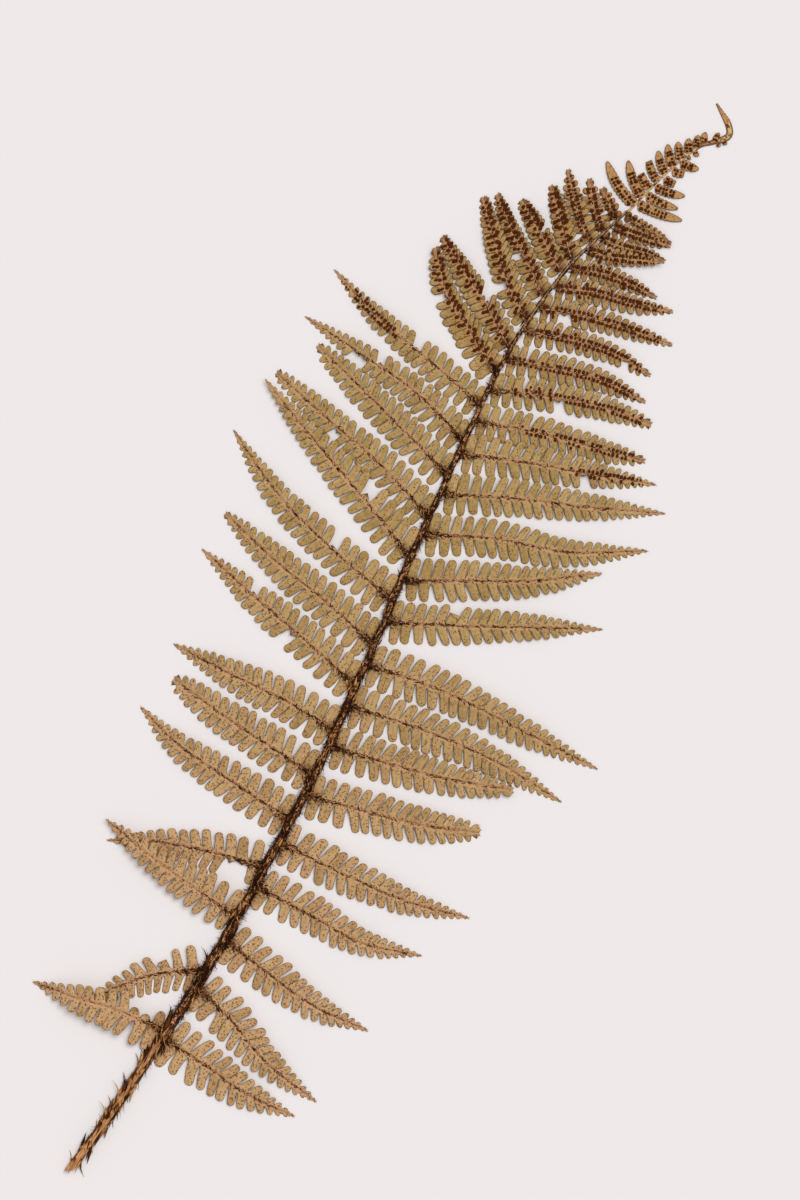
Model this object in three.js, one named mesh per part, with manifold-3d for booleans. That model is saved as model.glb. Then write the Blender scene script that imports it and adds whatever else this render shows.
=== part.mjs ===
// A scaly male fern frond, pressed and dried, lying flat with its underside up.
//
// Units are millimetres and +Z is up. The plan is drawn with the cut base of the
// stalk near x = 0, y = 0 and the frond growing towards +Y. At the end the whole
// frond is moved so that the origin is the middle of the box it lies on.
//
// The pieces are the brown scaly stalk, one comb-shaped blade for each pinna,
// and the bare end of the frond with its smallest pinnae and hooked apex.

import * as THREE from "three";
import Module from "manifold-3d";

const wasm = await Module();
wasm.setup();

// Where the middle of the frond's box lies in the plan.
const MIDDLE = { x: -5.1, y: 236.2 };

// Thickness of every blade, and the gap where one piece meets another.
const BLADE = 0.62;
const LOWEST = BLADE / 2;
const GAP = 0.3;

// The line of the stalk, from the cut base to where the scaly part ends.
const STALK_END = 421;
const STALK_LINE = [
  [0.2, -1.3], [2.1, 20], [2.9, 50], [3.3, 78], [2.4, 120], [-2, 180], [-7.5, 220], [-10.5, 240],
  [-14.2, 260], [-19.6, 300], [-24.3, 337], [-25.4, 358], [-23.5, 390], [-16.1, 420], [-13.8, 430],
];

// Width and height of the stalk at a few places along y.
const STALK_WIDTH = [[-2, 3.5], [60, 3.7], [200, 3.0], [260, 2.6], [330, 1.9], [370, 1.5], [422, 1.1]];
const STALK_HEIGHT = [[-2, 2.9], [60, 3.1], [200, 2.8], [260, 2.4], [330, 2.0], [370, 1.7], [422, 1.3]];
const STALK_STEP = 12;

// Half-round section with a flat underside: parts of the half width, and of the height.
const SECTION = [[-0.55, 0], [0.55, 0], [1, 0.38], [0.72, 0.82], [0, 1], [-0.72, 0.82], [-1, 0.38]];

// Brown scales on the stalk, larger than life and fewer.
const SCALE_COUNT = 116;
const SCALE_FIRST = 12;
const SCALE_LAST = 352;
const SCALE_SEED = 71;
const SCALE_LENGTH = { base: 8, end: 4 };
const SCALE_WIDTH = 0.156;
const SCALE_THICKNESS = 0.42;
const SCALE_TWIST = { least: 0.15, most: 1.1 };
const SCALE_SPLAY = { least: 0.15, most: 0.75 };
const SCALE_RISE = { least: 0.16, most: 0.34 };
const POINTS_BACK = 0.4;

// Pinnae: length of rib for each pair of leaflets, how much closer the pairs get
// towards the tip, and the bare stretch of rib at the root.
const PAIR_SPACING = 5.15;
const CROWDING = 0.34;
const BARE_ROOT = 0.8;
const ROOT_HEIGHT = 0.38;
const LOWEST_ROOT = 0.55;
const BROKEN_END = 0.6;
const RIB_ROOT = 0.75;
const RIB_TIP = 0.4;
const RIB_POINT = 0.15;

// Cross section of a pinna: the edge nearer the frond's tip is tilted up so that
// neighbours lie over each other like roof tiles, and both edges droop a little.
// Along its rib a pinna lifts from the stalk to a level, and comes down at its tip.
const TILT = 1.0;
const DROOP = 0.35;
const LEVEL = 1.9;
const LEVEL_CHANGE = 0.15;
const LIFT_LENGTH = 7;
const COMES_DOWN = 0.65;

// Leaflets beside the stalk stand straight out, and lean fully from here on.
const LEAN_LENGTH = 18;
const FIRST_LEAN = { up: 0.1, down: -0.8 };
const LEAFLET_WIDTH = 0.78;
const ROUNDING = 0.95;
const LEAFLET_GAP = 0.3;

// Each pinna: y of its root on the stalk, two points its rib goes through, its tip,
// and the half widths towards the frond's tip and base. Then what is special to it:
// kept is the part of its full length that isn't broken off, gaps are missing
// leaflets, level and end are the heights of its middle and of its tip.
const LEFT = [
  { y: 63.3, a: [-17, 60.4], b: [-33, 56.6], tip: [-49.5, 52], up: 10, down: 10, level: 5.2 },
  { y: 91.3, a: [-11.6, 79.6], b: [-19.6, 70], tip: [-28, 57.5], up: 7.5, down: 7.5, level: 1.2 },
  { y: 114.2, a: [-20, 115.4], b: [-40, 116.8], tip: [-59.2, 119.1], up: 9.5, down: 8, level: 4.4, end: 2.3 },
  { y: 136, a: [-17, 130.7], b: [-37, 122.8], tip: [-54.6, 112.7], up: 9, down: 8, level: 1.1,
    gaps: { down: [0.12, 0.22] } },
  { y: 156, a: [-25, 157], b: [-50, 157.6], tip: [-71, 162.2], up: 9.5, down: 8 },
  { y: 175.3, a: [-22, 176], b: [-45, 176.4], tip: [-66, 178], up: 9, down: 8.5, kept: 0.88 },
  { y: 193.8, a: [-24, 194], b: [-48, 191.2], tip: [-73, 189.2], up: 9, down: 8 },
  { y: 212.7, a: [-30, 217], b: [-56, 220.7], tip: [-83.3, 225.4], up: 8.5, down: 8,
    gaps: { down: [0.42], up: [0.7] } },
  { y: 229.7, a: [-33, 233.8], b: [-58, 236.7], tip: [-83.2, 241.7], up: 8.5, down: 8.5, kept: 0.95 },
  { y: 247.7, a: [-41, 252], b: [-69, 258.5], tip: [-97.5, 270.4], up: 8.5, down: 8.5, gaps: { up: [0.34] } },
  { y: 265.2, a: [-41, 274.4], b: [-69, 283], tip: [-97.9, 292.9], up: 10, down: 8, level: 2.1, end: 2.4,
    gaps: { up: [0.33] } },
  { y: 281.8, a: [-42, 288.7], b: [-68, 292.6], tip: [-95.5, 297.3], up: 8.5, down: 7, kept: 0.9,
    level: 1.8, end: LOWEST, gaps: { down: [0.6] } },
  { y: 299.2, a: [-42, 304.5], b: [-65, 309.5], tip: [-87.7, 314.6], up: 7.5, down: 7.5, kept: 0.9 },
  { y: 313.4, a: [-46, 319.3], b: [-72, 320.6], tip: [-97.9, 321.3], up: 8.5, down: 6.5,
    gaps: { up: [0.58], down: [0.67] } },
  { y: 328.5, a: [-48, 332.2], b: [-74, 335.7], tip: [-98.2, 342.3], up: 8, down: 7, gaps: { up: [0.43] } },
  { y: 342.3, a: [-40, 349.3], b: [-56.7, 357.5], tip: [-70, 370], up: 6.3, down: 7.5, kept: 0.88, end: 2.2,
    gaps: { down: [0.66] } },
  { y: 352.3, a: [-40, 360.8], b: [-55, 367.8], tip: [-70, 375], up: 6.3, down: 6.8, kept: 0.88,
    gaps: { up: [0.48] } },
  { y: 365.2, a: [-38, 372], b: [-52, 384], tip: [-65, 396], up: 6, down: 7, kept: 0.88, level: 2.5,
    gaps: { down: [0.33] } },
  { y: 375.6, a: [-37, 384], b: [-49, 391], tip: [-61, 399.7], up: 6, down: 6.5, kept: 0.88, level: 2.1,
    gaps: { down: [0.43] } },
  { y: 387.2, a: [-33, 392.3], b: [-43, 398.2], tip: [-52, 403], up: 6, down: 6.5, kept: 0.86, level: 2.1,
    gaps: { up: [0.6] } },
  { y: 393, a: [-30, 399.5], b: [-38, 407], tip: [-45.5, 413.3], up: 5, down: 5.5, kept: 0.88, level: 2.1 },
  { y: 402.5, a: [-28, 407.3], b: [-36, 414.5], tip: [-43.3, 422], up: 5, down: 5.3, kept: 0.93,
    level: 1.95 },
  { y: 408.3, a: [-25, 413], b: [-30, 418], tip: [-34.5, 423.5], up: 4.5, down: 5, kept: 0.87, level: 1.55 },
  { y: 414.8, a: [-21.5, 418.1], b: [-25, 420.8], tip: [-28.5, 423], up: 3.5, down: 3.8, kept: 0.86,
    level: 1.5 },
];
const RIGHT = [
  { y: 60.7, a: [22, 60.3], b: [42, 59.6], tip: [61.3, 61.9], up: 9.5, down: 10.5 },
  { y: 84, a: [22, 79.8], b: [42, 73.6], tip: [65.4, 71.1], up: 9.5, down: 9 },
  { y: 104.8, a: [25, 102.5], b: [46, 101.5], tip: [67.5, 104.4], up: 9.5, down: 9 },
  { y: 128, a: [26, 129.9], b: [48, 131.5], tip: [69.6, 139.4], up: 9, down: 8 },
  { y: 147, a: [28, 149.9], b: [53, 153.8], tip: [77.3, 161.3], up: 9.5, down: 8 },
  { y: 167.5, a: [22, 174.5], b: [43, 181.5], tip: [63.3, 190.8], up: 9.5, down: 9, kept: 0.9 },
  { y: 188.2, a: [21, 194.9], b: [43, 202], tip: [65.3, 211.5], up: 9, down: 8.5, kept: 0.9, end: 2.4 },
  { y: 205, a: [25, 212.6], b: [54, 217.1], tip: [83.2, 217.5], up: 9, down: 8 },
  { y: 222, a: [24, 229.1], b: [56, 232.4], tip: [88.1, 235.4], up: 9, down: 8, lean: "steep" },
  { y: 239.5, a: [13, 252.2], b: [37, 266.4], tip: [61.5, 280.8], up: 8.5, down: 8.5, lean: "steep" },
  { y: 255.7, a: [8, 269.2], b: [29, 282.6], tip: [49.7, 299.1], up: 9, down: 9, lean: "steep",
    level: 2.3, end: 0.9 },
  { y: 275, a: [9, 288.8], b: [34, 299.4], tip: [59.8, 315.7], up: 8.5, down: 8.5, lean: "steep",
    level: 1.8 },
  { y: 291.6, a: [7, 305.7], b: [32, 317.6], tip: [57.7, 331.2], up: 8.5, down: 8.5, lean: "steep" },
  { y: 308.7, a: [3, 319.4], b: [26, 328.7], tip: [49, 338.7], up: 8, down: 8, lean: "steep",
    gaps: { down: [0.64] } },
  { y: 322, a: [-1, 330.7], b: [20, 337.5], tip: [40.6, 344], up: 7, down: 7, lean: "steep", kept: 0.9 },
  { y: 335, a: [-5, 344.5], b: [15, 352.3], tip: [35.2, 357.1], up: 7, down: 7, kept: 0.9,
    gaps: { down: [0.46] } },
  { y: 348.3, a: [-8, 354.9], b: [10, 361.1], tip: [28.7, 363.2], up: 6, down: 6, kept: 0.96 },
  { y: 361, a: [-9, 367.6], b: [8, 372.2], tip: [24.9, 372.8], up: 5.5, down: 5.5, kept: 0.92,
    gaps: { down: [0.82] } },
  { y: 371.3, a: [-9, 378.1], b: [9, 383.2], tip: [25.7, 387], up: 5.5, down: 5.5, kept: 0.95,
    gaps: { down: [0.22] } },
  { y: 381, a: [-10, 387.8], b: [4, 392.4], tip: [19, 398.3], up: 5, down: 5, kept: 0.95 },
  { y: 390.2, a: [-12, 395.3], b: [-1, 397.8], tip: [11, 399], up: 4.5, down: 4.5, kept: 0.92 },
  { y: 400, a: [-12.5, 402.4], b: [-4, 406.4], tip: [6, 411.5], up: 4, down: 4, kept: 0.95,
    level: 2.7, end: 2.7 },
  { y: 407, a: [-11, 407.9], b: [-2, 410.9], tip: [6.3, 412.3], up: 3.5, down: 3.5, kept: 0.85,
    level: 1.3, end: LOWEST },
  { y: 412.8, a: [-10.5, 414.2], b: [-3, 416.1], tip: [5, 418.3], up: 3, down: 3, kept: 0.85, end: 1.5 },
  { y: 418.8, a: [-9.5, 419], b: [-2.5, 419.5], tip: [4.7, 419.5], up: 1.8, down: 1.8, kept: 0.9 },
];

// How far leaflets lean towards the pinna's tip, on its upper and lower side.
const LEAN = { usual: { up: 18, down: 26 }, steep: { up: 30, down: 20 } };

// The bare end of the frond: its line up to the hook, and the small whole pinnae.
const TIP_LINE = [
  [-15.6, STALK_END + 2 * GAP], [-11.3, 440], [-6.5, 455], [-2.8, 460], [0.8, 464], [1.5, 466.8],
  [-1, 469.9], [-5.2, 472], [-8.9, 473.7],
];
const TIP_HALF_WIDTH = [0.55, 0.5, 0.45, 0.45, 0.5, 0.7, 1.0, 1.0, 0.3];
const TIP_HEIGHT = 1.1;
const SMALL_LEFT = [
  { root: [-15, 424], tip: [-32.8, 432.8], half: 2.4 },
  { root: [-14, 428], tip: [-25.9, 437.5], half: 2.2 },
  { root: [-13, 432.3], tip: [-18.3, 435.4], half: 2 },
  { root: [-11.9, 436.3], tip: [-18.3, 441.2], half: 2 },
  { root: [-11, 440.2], tip: [-17.6, 446.3], half: 1.9 },
  { root: [-9.9, 444.2], tip: [-15.9, 450.2], half: 1.8 },
  { root: [-8.8, 448], tip: [-13.5, 453], half: 1.6 },
  { root: [-7.5, 451.7], tip: [-10.7, 456.3], half: 1.5 },
  { root: [-6.3, 455], tip: [-8.3, 459.1], half: 1.3 },
  { root: [-4.8, 457.8], tip: [-6.7, 461.5], half: 1.2 },
  { root: [-2, 461], tip: [-2.2, 464.8], half: 1.2 },
];
const SMALL_RIGHT = [
  { root: [-14, 425], tip: [3.5, 429.3], half: 2 },
  { root: [-13.1, 429.7], tip: [-0.1, 431.7], half: 1.8 },
  { root: [-11.9, 434], tip: [-0.6, 437.7], half: 1.8 },
  { root: [-10.8, 438.5], tip: [-6.1, 439.1], half: 1.5 },
  { root: [-9.8, 442.8], tip: [-5.4, 444.1], half: 1.4 },
  { root: [-8.7, 447], tip: [-1.5, 448.7], half: 1.5 },
  { root: [-7.6, 451], tip: [-6, 450.2], half: 0.8 },
  { root: [-6.7, 453.8], tip: [-4.1, 453], half: 1.1 },
  { root: [-0.9, 461], tip: [0.9, 460.6], half: 0.9 },
  { root: [0.4, 462.9], tip: [2.6, 462.6], half: 0.9 },
];

const MATERIALS = {
  stalk: { color: 0x6b3d1f, roughness: 0.85, metalness: 0 },
  pinna: { color: 0xb09860, roughness: 0.8, metalness: 0 },
  tip: { color: 0xa07a4a, roughness: 0.8, metalness: 0 },
};

// A value read between the rows of a table of [place, value].
function between(table, place) {
  const next = table.findIndex((row) => row[0] >= place);
  if (next <= 0) return next === 0 ? table[0][1] : table[table.length - 1][1];
  const [low, high] = [table[next - 1], table[next]];
  return THREE.MathUtils.mapLinear(place, low[0], high[0], low[1], high[1]);
}

// The x of the stalk's middle at a height y, on a smooth curve through its points.
function stalkX(y) {
  const last = STALK_LINE.length - 1;
  const k = THREE.MathUtils.clamp(STALK_LINE.findIndex((p) => p[1] > y) - 1, 0, last - 1);
  const slope = (i) => {
    const [before, after] = [STALK_LINE[Math.max(i - 1, 0)], STALK_LINE[Math.min(i + 1, last)]];
    return (after[0] - before[0]) / (after[1] - before[1]);
  };
  const [[x0, y0], [x1, y1]] = [STALK_LINE[k], STALK_LINE[k + 1]];
  const span = y1 - y0;
  const t = (y - y0) / span;
  const rest = 1 - t;
  return (1 + 2 * t) * rest * rest * x0 + t * t * (3 - 2 * t) * x1
    + t * rest * rest * span * slope(k) - t * t * rest * span * slope(k + 1);
}

const stalkHalf = (y) => between(STALK_WIDTH, y) / 2;
const stalkHeight = (y) => between(STALK_HEIGHT, y);

// How far a point of the plan lies outside the stalk, on its own side of it.
function besideStalk({ x, y }, side) {
  const slope = (stalkX(y + 1) - stalkX(y - 1)) / 2;
  return (side * (x - stalkX(y))) / Math.hypot(1, slope) - stalkHalf(y);
}

// Numbers that look random but are the same on every run.
function seeded(seed) {
  let state = seed;
  return () => {
    state = (state * 1664525 + 1013904223) % 4294967296;
    return state / 4294967296;
  };
}

// A thin sheet: triangles given once, counter-clockwise from above, become its top
// and its underside alike, and every edge that only one triangle has becomes a wall.
class Sheet {
  constructor() {
    this.points = [];
    this.triangles = [];
  }

  point(x, y, z) {
    this.points.push([x, y, Math.max(z, LOWEST)]);
    return this.points.length - 1;
  }

  triangle(a, b, c) {
    this.triangles.push([a, b, c]);
  }

  quad(a, b, c, d) {
    this.triangle(a, b, c);
    this.triangle(a, c, d);
  }

  geometry() {
    const positions = [];
    for (const [x, y, z] of this.points) {
      positions.push(x, y, z + BLADE / 2, x, y, z - BLADE / 2);
    }
    const faces = [];
    const edges = new Set();
    for (const [a, b, c] of this.triangles) {
      faces.push(2 * a, 2 * b, 2 * c, 2 * a + 1, 2 * c + 1, 2 * b + 1);
      edges.add(`${a} ${b}`).add(`${b} ${c}`).add(`${c} ${a}`);
    }
    for (const edge of edges) {
      const [a, b] = edge.split(" ").map(Number);
      if (edges.has(`${b} ${a}`)) continue;
      faces.push(2 * a, 2 * a + 1, 2 * b + 1, 2 * a, 2 * b + 1, 2 * b);
    }
    const geometry = new THREE.BufferGeometry();
    geometry.setAttribute("position", new THREE.Float32BufferAttribute(positions, 3));
    geometry.setIndex(faces);
    return geometry;
  }
}

// Share of the root's half width that is left at a part t of the full length.
const taper = (t) => Math.pow(Math.max(1 - Math.pow(t, 2.5), 0), 0.9);

// The rib of a pinna starts beside the stalk, GAP away from it.
function ribCurve(pinna, side) {
  const root = [stalkX(pinna.y), pinna.y];
  const plan = [root, pinna.a, pinna.b, pinna.tip].map(([x, y]) => new THREE.Vector3(x, y, 0));
  const whole = new THREE.CatmullRomCurve3(plan, false, "catmullrom", 0.5);
  const length = whole.getLength();
  const clear = (at) => {
    const { x, y } = whole.getPointAt(at);
    const heading = whole.getTangentAt(at);
    return [-RIB_ROOT, RIB_ROOT].every((v) => (
      besideStalk({ x: x - heading.y * v, y: y + heading.x * v }, side) > GAP + 0.05
    ));
  };
  let start = 0;
  while (!clear(start)) start += 0.05 / length;
  return {
    length: length * (1 - start),
    at: (s) => whole.getPointAt(Math.min(start + s / length, 1)),
    heading: (s) => whole.getTangentAt(Math.min(start + s / length, 1)),
  };
}

// One pinna: a rib with leaflets on both sides, all in one thin arched sheet.
function pinnaGeometry(pinna, side, order) {
  const rib = ribCurve(pinna, side);
  const kept = pinna.kept ?? 1;
  const lean = LEAN[pinna.lean ?? "usual"];
  const pairs = Math.round((rib.length - BARE_ROOT) / PAIR_SPACING);
  const rootHeight = Math.max(ROOT_HEIGHT * stalkHeight(pinna.y), LOWEST_ROOT);
  const endHeight = pinna.end ?? (kept < 1 ? BROKEN_END : LOWEST);
  const level = pinna.level ?? LEVEL + LEVEL_CHANGE * Math.sin(1.7 * order);
  const sheet = new Sheet();

  const height = (s, v) => {
    const t = THREE.MathUtils.clamp(s / rib.length, 0, 1);
    const out = v / (v > 0 ? pinna.up : pinna.down);
    const lifted = THREE.MathUtils.lerp(level, rootHeight, Math.exp(-Math.max(s, 0) / LIFT_LENGTH));
    const middle = THREE.MathUtils.lerp(lifted, endHeight, THREE.MathUtils.smoothstep(t, COMES_DOWN, 1));
    return middle + TILT * out - DROOP * Math.abs(out);
  };
  // A point beside the rib: v is towards the frond's tip, w is along the rib.
  const place = (s, v, w = 0) => {
    const centre = rib.at(s);
    const heading = rib.heading(s);
    const x = centre.x - side * heading.y * v + heading.x * w;
    const y = centre.y + side * heading.x * v + heading.y * w;
    return { x, y, z: height(s + w, v) };
  };
  const put = ({ x, y, z }) => sheet.point(x, y, z);
  // Seen from above, faces on the right half of the frond run the other way round.
  const face = (a, b, c, d) => (side > 0 ? sheet.quad(a, b, c, d) : sheet.quad(d, c, b, a));

  const stations = [];
  for (let i = 0; i <= pairs; i += 1) {
    const q = i / pairs;
    stations.push(BARE_ROOT + (rib.length - BARE_ROOT) * q * (1 + CROWDING * (1 - q)));
  }
  const ribHalf = (s) => THREE.MathUtils.lerp(RIB_ROOT, RIB_TIP, s / rib.length);
  const ribEdge = (s, half = ribHalf(s)) => ({ up: put(place(s, half)), down: put(place(s, -half)) });

  // How far along the rib the last leaflet on each side reaches.
  const reached = { up: 0, down: 0 };
  const leaflet = (way, from, to, edgeFrom, edgeTo) => {
    const middle = (from + to) / 2;
    const missing = (pinna.gaps?.[way] ?? []).some((t) => t * rib.length >= from && t * rib.length < to);
    if (missing) return;
    const v = (way === "up" ? 1 : -1) * pinna[way] * taper((kept * middle) / rib.length);
    const half = ((to - from) / 2) * LEAFLET_WIDTH;
    const leaning = THREE.MathUtils.smoothstep(middle, 0, LEAN_LENGTH);
    const degrees = lean[way] * THREE.MathUtils.lerp(FIRST_LEAN[way], 1, leaning);
    let forward = Math.abs(v) * Math.tan(THREE.MathUtils.degToRad(degrees));
    forward = Math.max(forward, reached[way] + LEAFLET_GAP + half - middle);
    const corners = () => [place(middle, v, forward - half), place(middle, ROUNDING * v, forward + half)];
    // Leaflets beside the stalk lean away until they are clear of it.
    while (corners().some((p) => besideStalk(p, side) < 2 * GAP)) forward += GAP;
    reached[way] = middle + forward + half;
    const [near, far] = corners().map(put);
    if (way === "up") face(edgeFrom, edgeTo, far, near);
    else face(near, far, edgeTo, edgeFrom);
  };

  let before = ribEdge(0);
  let from = 0;
  stations.forEach((s, i) => {
    const here = i === pairs && kept === 1 ? ribEdge(s, RIB_POINT) : ribEdge(s);
    face(before.down, here.down, here.up, before.up);
    if (i > 0) {
      leaflet("up", from, s, before.up, here.up);
      leaflet("down", from, s, before.down, here.down);
    }
    before = here;
    from = s;
  });
  return sheet.geometry();
}

// A closed three.js geometry as a solid that can be joined, and back again.
function solidOf(geometry) {
  const mesh = new wasm.Mesh({
    numProp: 3,
    vertProperties: new Float32Array(geometry.attributes.position.array),
    triVerts: new Uint32Array(geometry.index.array),
  });
  mesh.merge();
  return new wasm.Manifold(mesh);
}

function geometryOf(solid) {
  const mesh = solid.getMesh();
  const geometry = new THREE.BufferGeometry();
  geometry.setAttribute("position", new THREE.Float32BufferAttribute(mesh.vertProperties, 3));
  geometry.setIndex(Array.from(mesh.triVerts));
  return geometry;
}

// Rings of points joined in order, closed with a fan at both ends.
function loft(rings) {
  const count = rings[0].length;
  const faces = [];
  for (let i = 0; i + 1 < rings.length; i += 1) {
    for (let k = 0; k < count; k += 1) {
      const a = i * count + k;
      const b = i * count + ((k + 1) % count);
      faces.push(a, b + count, b, a, a + count, b + count);
    }
  }
  const last = (rings.length - 1) * count;
  for (let k = 1; k + 1 < count; k += 1) {
    faces.push(0, k, k + 1, last, last + k + 1, last + k);
  }
  const geometry = new THREE.BufferGeometry();
  geometry.setAttribute("position", new THREE.Float32BufferAttribute(rings.flat(2), 3));
  geometry.setIndex(faces);
  return geometry;
}

// The bare stalk, a half-round rod that tapers and follows its line.
function stalkBody() {
  const rings = [];
  const first = STALK_LINE[0][1];
  const steps = Math.ceil((STALK_END - first) / STALK_STEP);
  for (let i = 0; i <= steps; i += 1) {
    const y = THREE.MathUtils.lerp(first, STALK_END, i / steps);
    rings.push(SECTION.map(([u, h]) => [stalkX(y) + u * stalkHalf(y), y, h * stalkHeight(y)]));
  }
  return loft(rings);
}

// One pointed three-sided scale, its root sunk in the stalk's upper half, at an
// angle round it from the top.
function scaleSolid(y, around, length, splay, lift, backwards) {
  const root = new THREE.Vector3(
    stalkX(y) + 0.75 * stalkHalf(y) * Math.sin(around),
    y,
    stalkHeight(y) * (0.38 + 0.42 * Math.cos(around)),
  );
  const outwards = Math.sign(around) || 1;
  const heading = new THREE.Vector3(
    outwards * Math.sin(splay) * Math.cos(lift),
    (backwards ? -1 : 1) * Math.cos(splay) * Math.cos(lift),
    Math.sin(lift),
  );
  const scale = new THREE.ConeGeometry(1, length, 3, 1);
  scale.translate(0, length / 2, 0);
  scale.deleteAttribute("normal");
  scale.deleteAttribute("uv");
  const sideways = new THREE.Vector3(0, 0, 1).cross(heading).normalize();
  const upwards = heading.clone().cross(sideways).normalize();
  const turn = new THREE.Matrix4().makeBasis(
    sideways.multiplyScalar(SCALE_WIDTH * length), heading, upwards.multiplyScalar(-SCALE_THICKNESS),
  );
  scale.applyMatrix4(turn.setPosition(root));
  return solidOf(scale);
}

// The scales that stay clear of every pinna, joined to the stalk.
function scalyStalk(pinnae) {
  const random = seeded(SCALE_SEED);
  const scales = [];
  for (let i = 0; i < SCALE_COUNT; i += 1) {
    const part = i / (SCALE_COUNT - 1);
    const y = THREE.MathUtils.lerp(SCALE_FIRST, SCALE_LAST, part) + 2 * (random() - 0.5);
    const side = i % 2 ? 1 : -1;
    const pick = ({ least, most }) => THREE.MathUtils.lerp(least, most, random());
    const around = side * pick(SCALE_TWIST);
    const length = THREE.MathUtils.lerp(SCALE_LENGTH.base, SCALE_LENGTH.end, part)
      * THREE.MathUtils.lerp(0.8, 1.1, random());
    const splay = pick(SCALE_SPLAY);
    const lift = pick(SCALE_RISE);
    const scale = scaleSolid(y, around, length, splay, lift, random() < POINTS_BACK);
    const near = pinnae.filter((p) => Math.abs(p.y - y) < 25);
    if (near.every((p) => scale.minGap(p.solid, GAP) >= GAP)) scales.push(scale);
  }
  return geometryOf(wasm.Manifold.union([solidOf(stalkBody()), ...scales]));
}

// A small nearly whole pinna of the frond's end, with a few shallow lobes.
function smallPinna({ root, tip, half }) {
  const sheet = new Sheet();
  const line = new THREE.LineCurve(new THREE.Vector2(...root), new THREE.Vector2(...tip));
  const length = line.getLength();
  const along = line.getTangent(0);
  const lobes = Math.max(1, Math.round(length / 5));
  const at = (t, v) => {
    const p = line.getPoint(t);
    const z = LOWEST + 0.25 * Math.sin(Math.PI * t) + 0.1;
    return sheet.point(p.x - along.y * v, p.y + along.x * v, z);
  };
  let right = at(0, -0.7 * half);
  let left = at(0, 0.7 * half);
  for (let i = 0; i < lobes; i += 1) {
    const t = (0.86 * (i + 1)) / lobes;
    const width = half * taper(t * 0.95);
    const bulge = half * taper(t - 0.43 / lobes);
    const next = [at(t, -0.86 * width), at(t, 0.86 * width)];
    const lobe = [at(t - 0.3 / lobes, -bulge), at(t - 0.3 / lobes, bulge)];
    sheet.quad(right, next[0], next[1], left);
    sheet.triangle(right, lobe[0], next[0]);
    sheet.triangle(next[1], lobe[1], left);
    [right, left] = next;
  }
  sheet.triangle(right, at(1, 0), left);
  return solidOf(sheet.geometry());
}

// The bare end of the frond: a flat ribbon along its line, hooked at the apex.
function tipRibbon() {
  const line = new THREE.CatmullRomCurve3(TIP_LINE.map(([x, y]) => new THREE.Vector3(x, y, 0)));
  const steps = 3 * (TIP_LINE.length - 1);
  const rings = [];
  for (let i = 0; i <= steps; i += 1) {
    const t = i / steps;
    const p = line.getPoint(t);
    const along = line.getTangent(t);
    const place = t * (TIP_LINE.length - 1);
    const half = between(TIP_HALF_WIDTH.map((value, k) => [k, value]), place);
    const top = THREE.MathUtils.lerp(TIP_HEIGHT, BLADE, t);
    const across = [[-1, 0], [1, 0], [0.7, top], [-0.7, top]];
    rings.push(across.map(([u, z]) => [p.x + along.y * half * u, p.y - along.x * half * u, z]));
  }
  return solidOf(loft(rings));
}

function frondTip() {
  const small = [...SMALL_LEFT, ...SMALL_RIGHT].map(smallPinna);
  return geometryOf(wasm.Manifold.union([tipRibbon(), ...small]));
}

function mesh(name, geometry, material) {
  const piece = new THREE.Mesh(geometry, new THREE.MeshStandardMaterial(material));
  piece.name = name;
  piece.position.set(-MIDDLE.x, -MIDDLE.y, 0);
  return piece;
}

const frond = new THREE.Group();
const pinnaSolids = [];
for (const [word, side, rows] of [["left", -1, LEFT], ["right", 1, RIGHT]]) {
  rows.forEach((pinna, i) => {
    const geometry = pinnaGeometry(pinna, side, i);
    const name = `pinna_${word}_${String(i + 1).padStart(2, "0")}`;
    frond.add(mesh(name, geometry, MATERIALS.pinna));
    pinnaSolids.push({ y: pinna.y, solid: solidOf(geometry) });
  });
}
frond.add(mesh("stalk", scalyStalk(pinnaSolids), MATERIALS.stalk));
frond.add(mesh("frond_tip", frondTip(), MATERIALS.tip));

export default frond;
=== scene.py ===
"""A frond of the scaly male fern, pressed and dried, lying with its underside up.

Lengths in the tables below are millimetres in the frond's own plan, where the cut
base of the stalk is near 0, 0 and the frond grows towards +Y. Meshes are in metres
with the origin in the middle of the box that the frond lies on.
"""

import math
import random

import bpy
import numpy as np
from bpy.props import FloatProperty, FloatVectorProperty, IntProperty, PointerProperty
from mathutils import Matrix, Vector, noise


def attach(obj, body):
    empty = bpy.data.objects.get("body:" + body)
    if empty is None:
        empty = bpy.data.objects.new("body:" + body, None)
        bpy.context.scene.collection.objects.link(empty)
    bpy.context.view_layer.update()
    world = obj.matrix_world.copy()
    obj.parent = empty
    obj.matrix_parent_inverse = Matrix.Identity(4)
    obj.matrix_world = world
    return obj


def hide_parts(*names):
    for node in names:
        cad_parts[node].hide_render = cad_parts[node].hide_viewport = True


bl_info = {
    "name": "Pressed fern frond",
    "version": (1, 0, 0),
    "blender": (4, 5, 0),
    "location": "View3D > Sidebar > Fern",
    "description": "Builds a pressed fern frond with leaflets, scales, spore heaps and a hooked tip",
    "category": "Add Mesh",
}

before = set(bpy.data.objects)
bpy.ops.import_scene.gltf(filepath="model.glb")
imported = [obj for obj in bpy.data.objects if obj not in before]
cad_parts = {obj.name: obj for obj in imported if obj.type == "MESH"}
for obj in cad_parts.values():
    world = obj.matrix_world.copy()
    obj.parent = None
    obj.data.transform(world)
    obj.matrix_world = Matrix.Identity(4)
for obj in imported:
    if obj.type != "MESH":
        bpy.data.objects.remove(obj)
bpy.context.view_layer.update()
BODY = "root"

# Where the middle of the frond's box lies in the plan.
PLAN_MIDDLE = (-5.1, 236.2)
MM = 0.001

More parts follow.
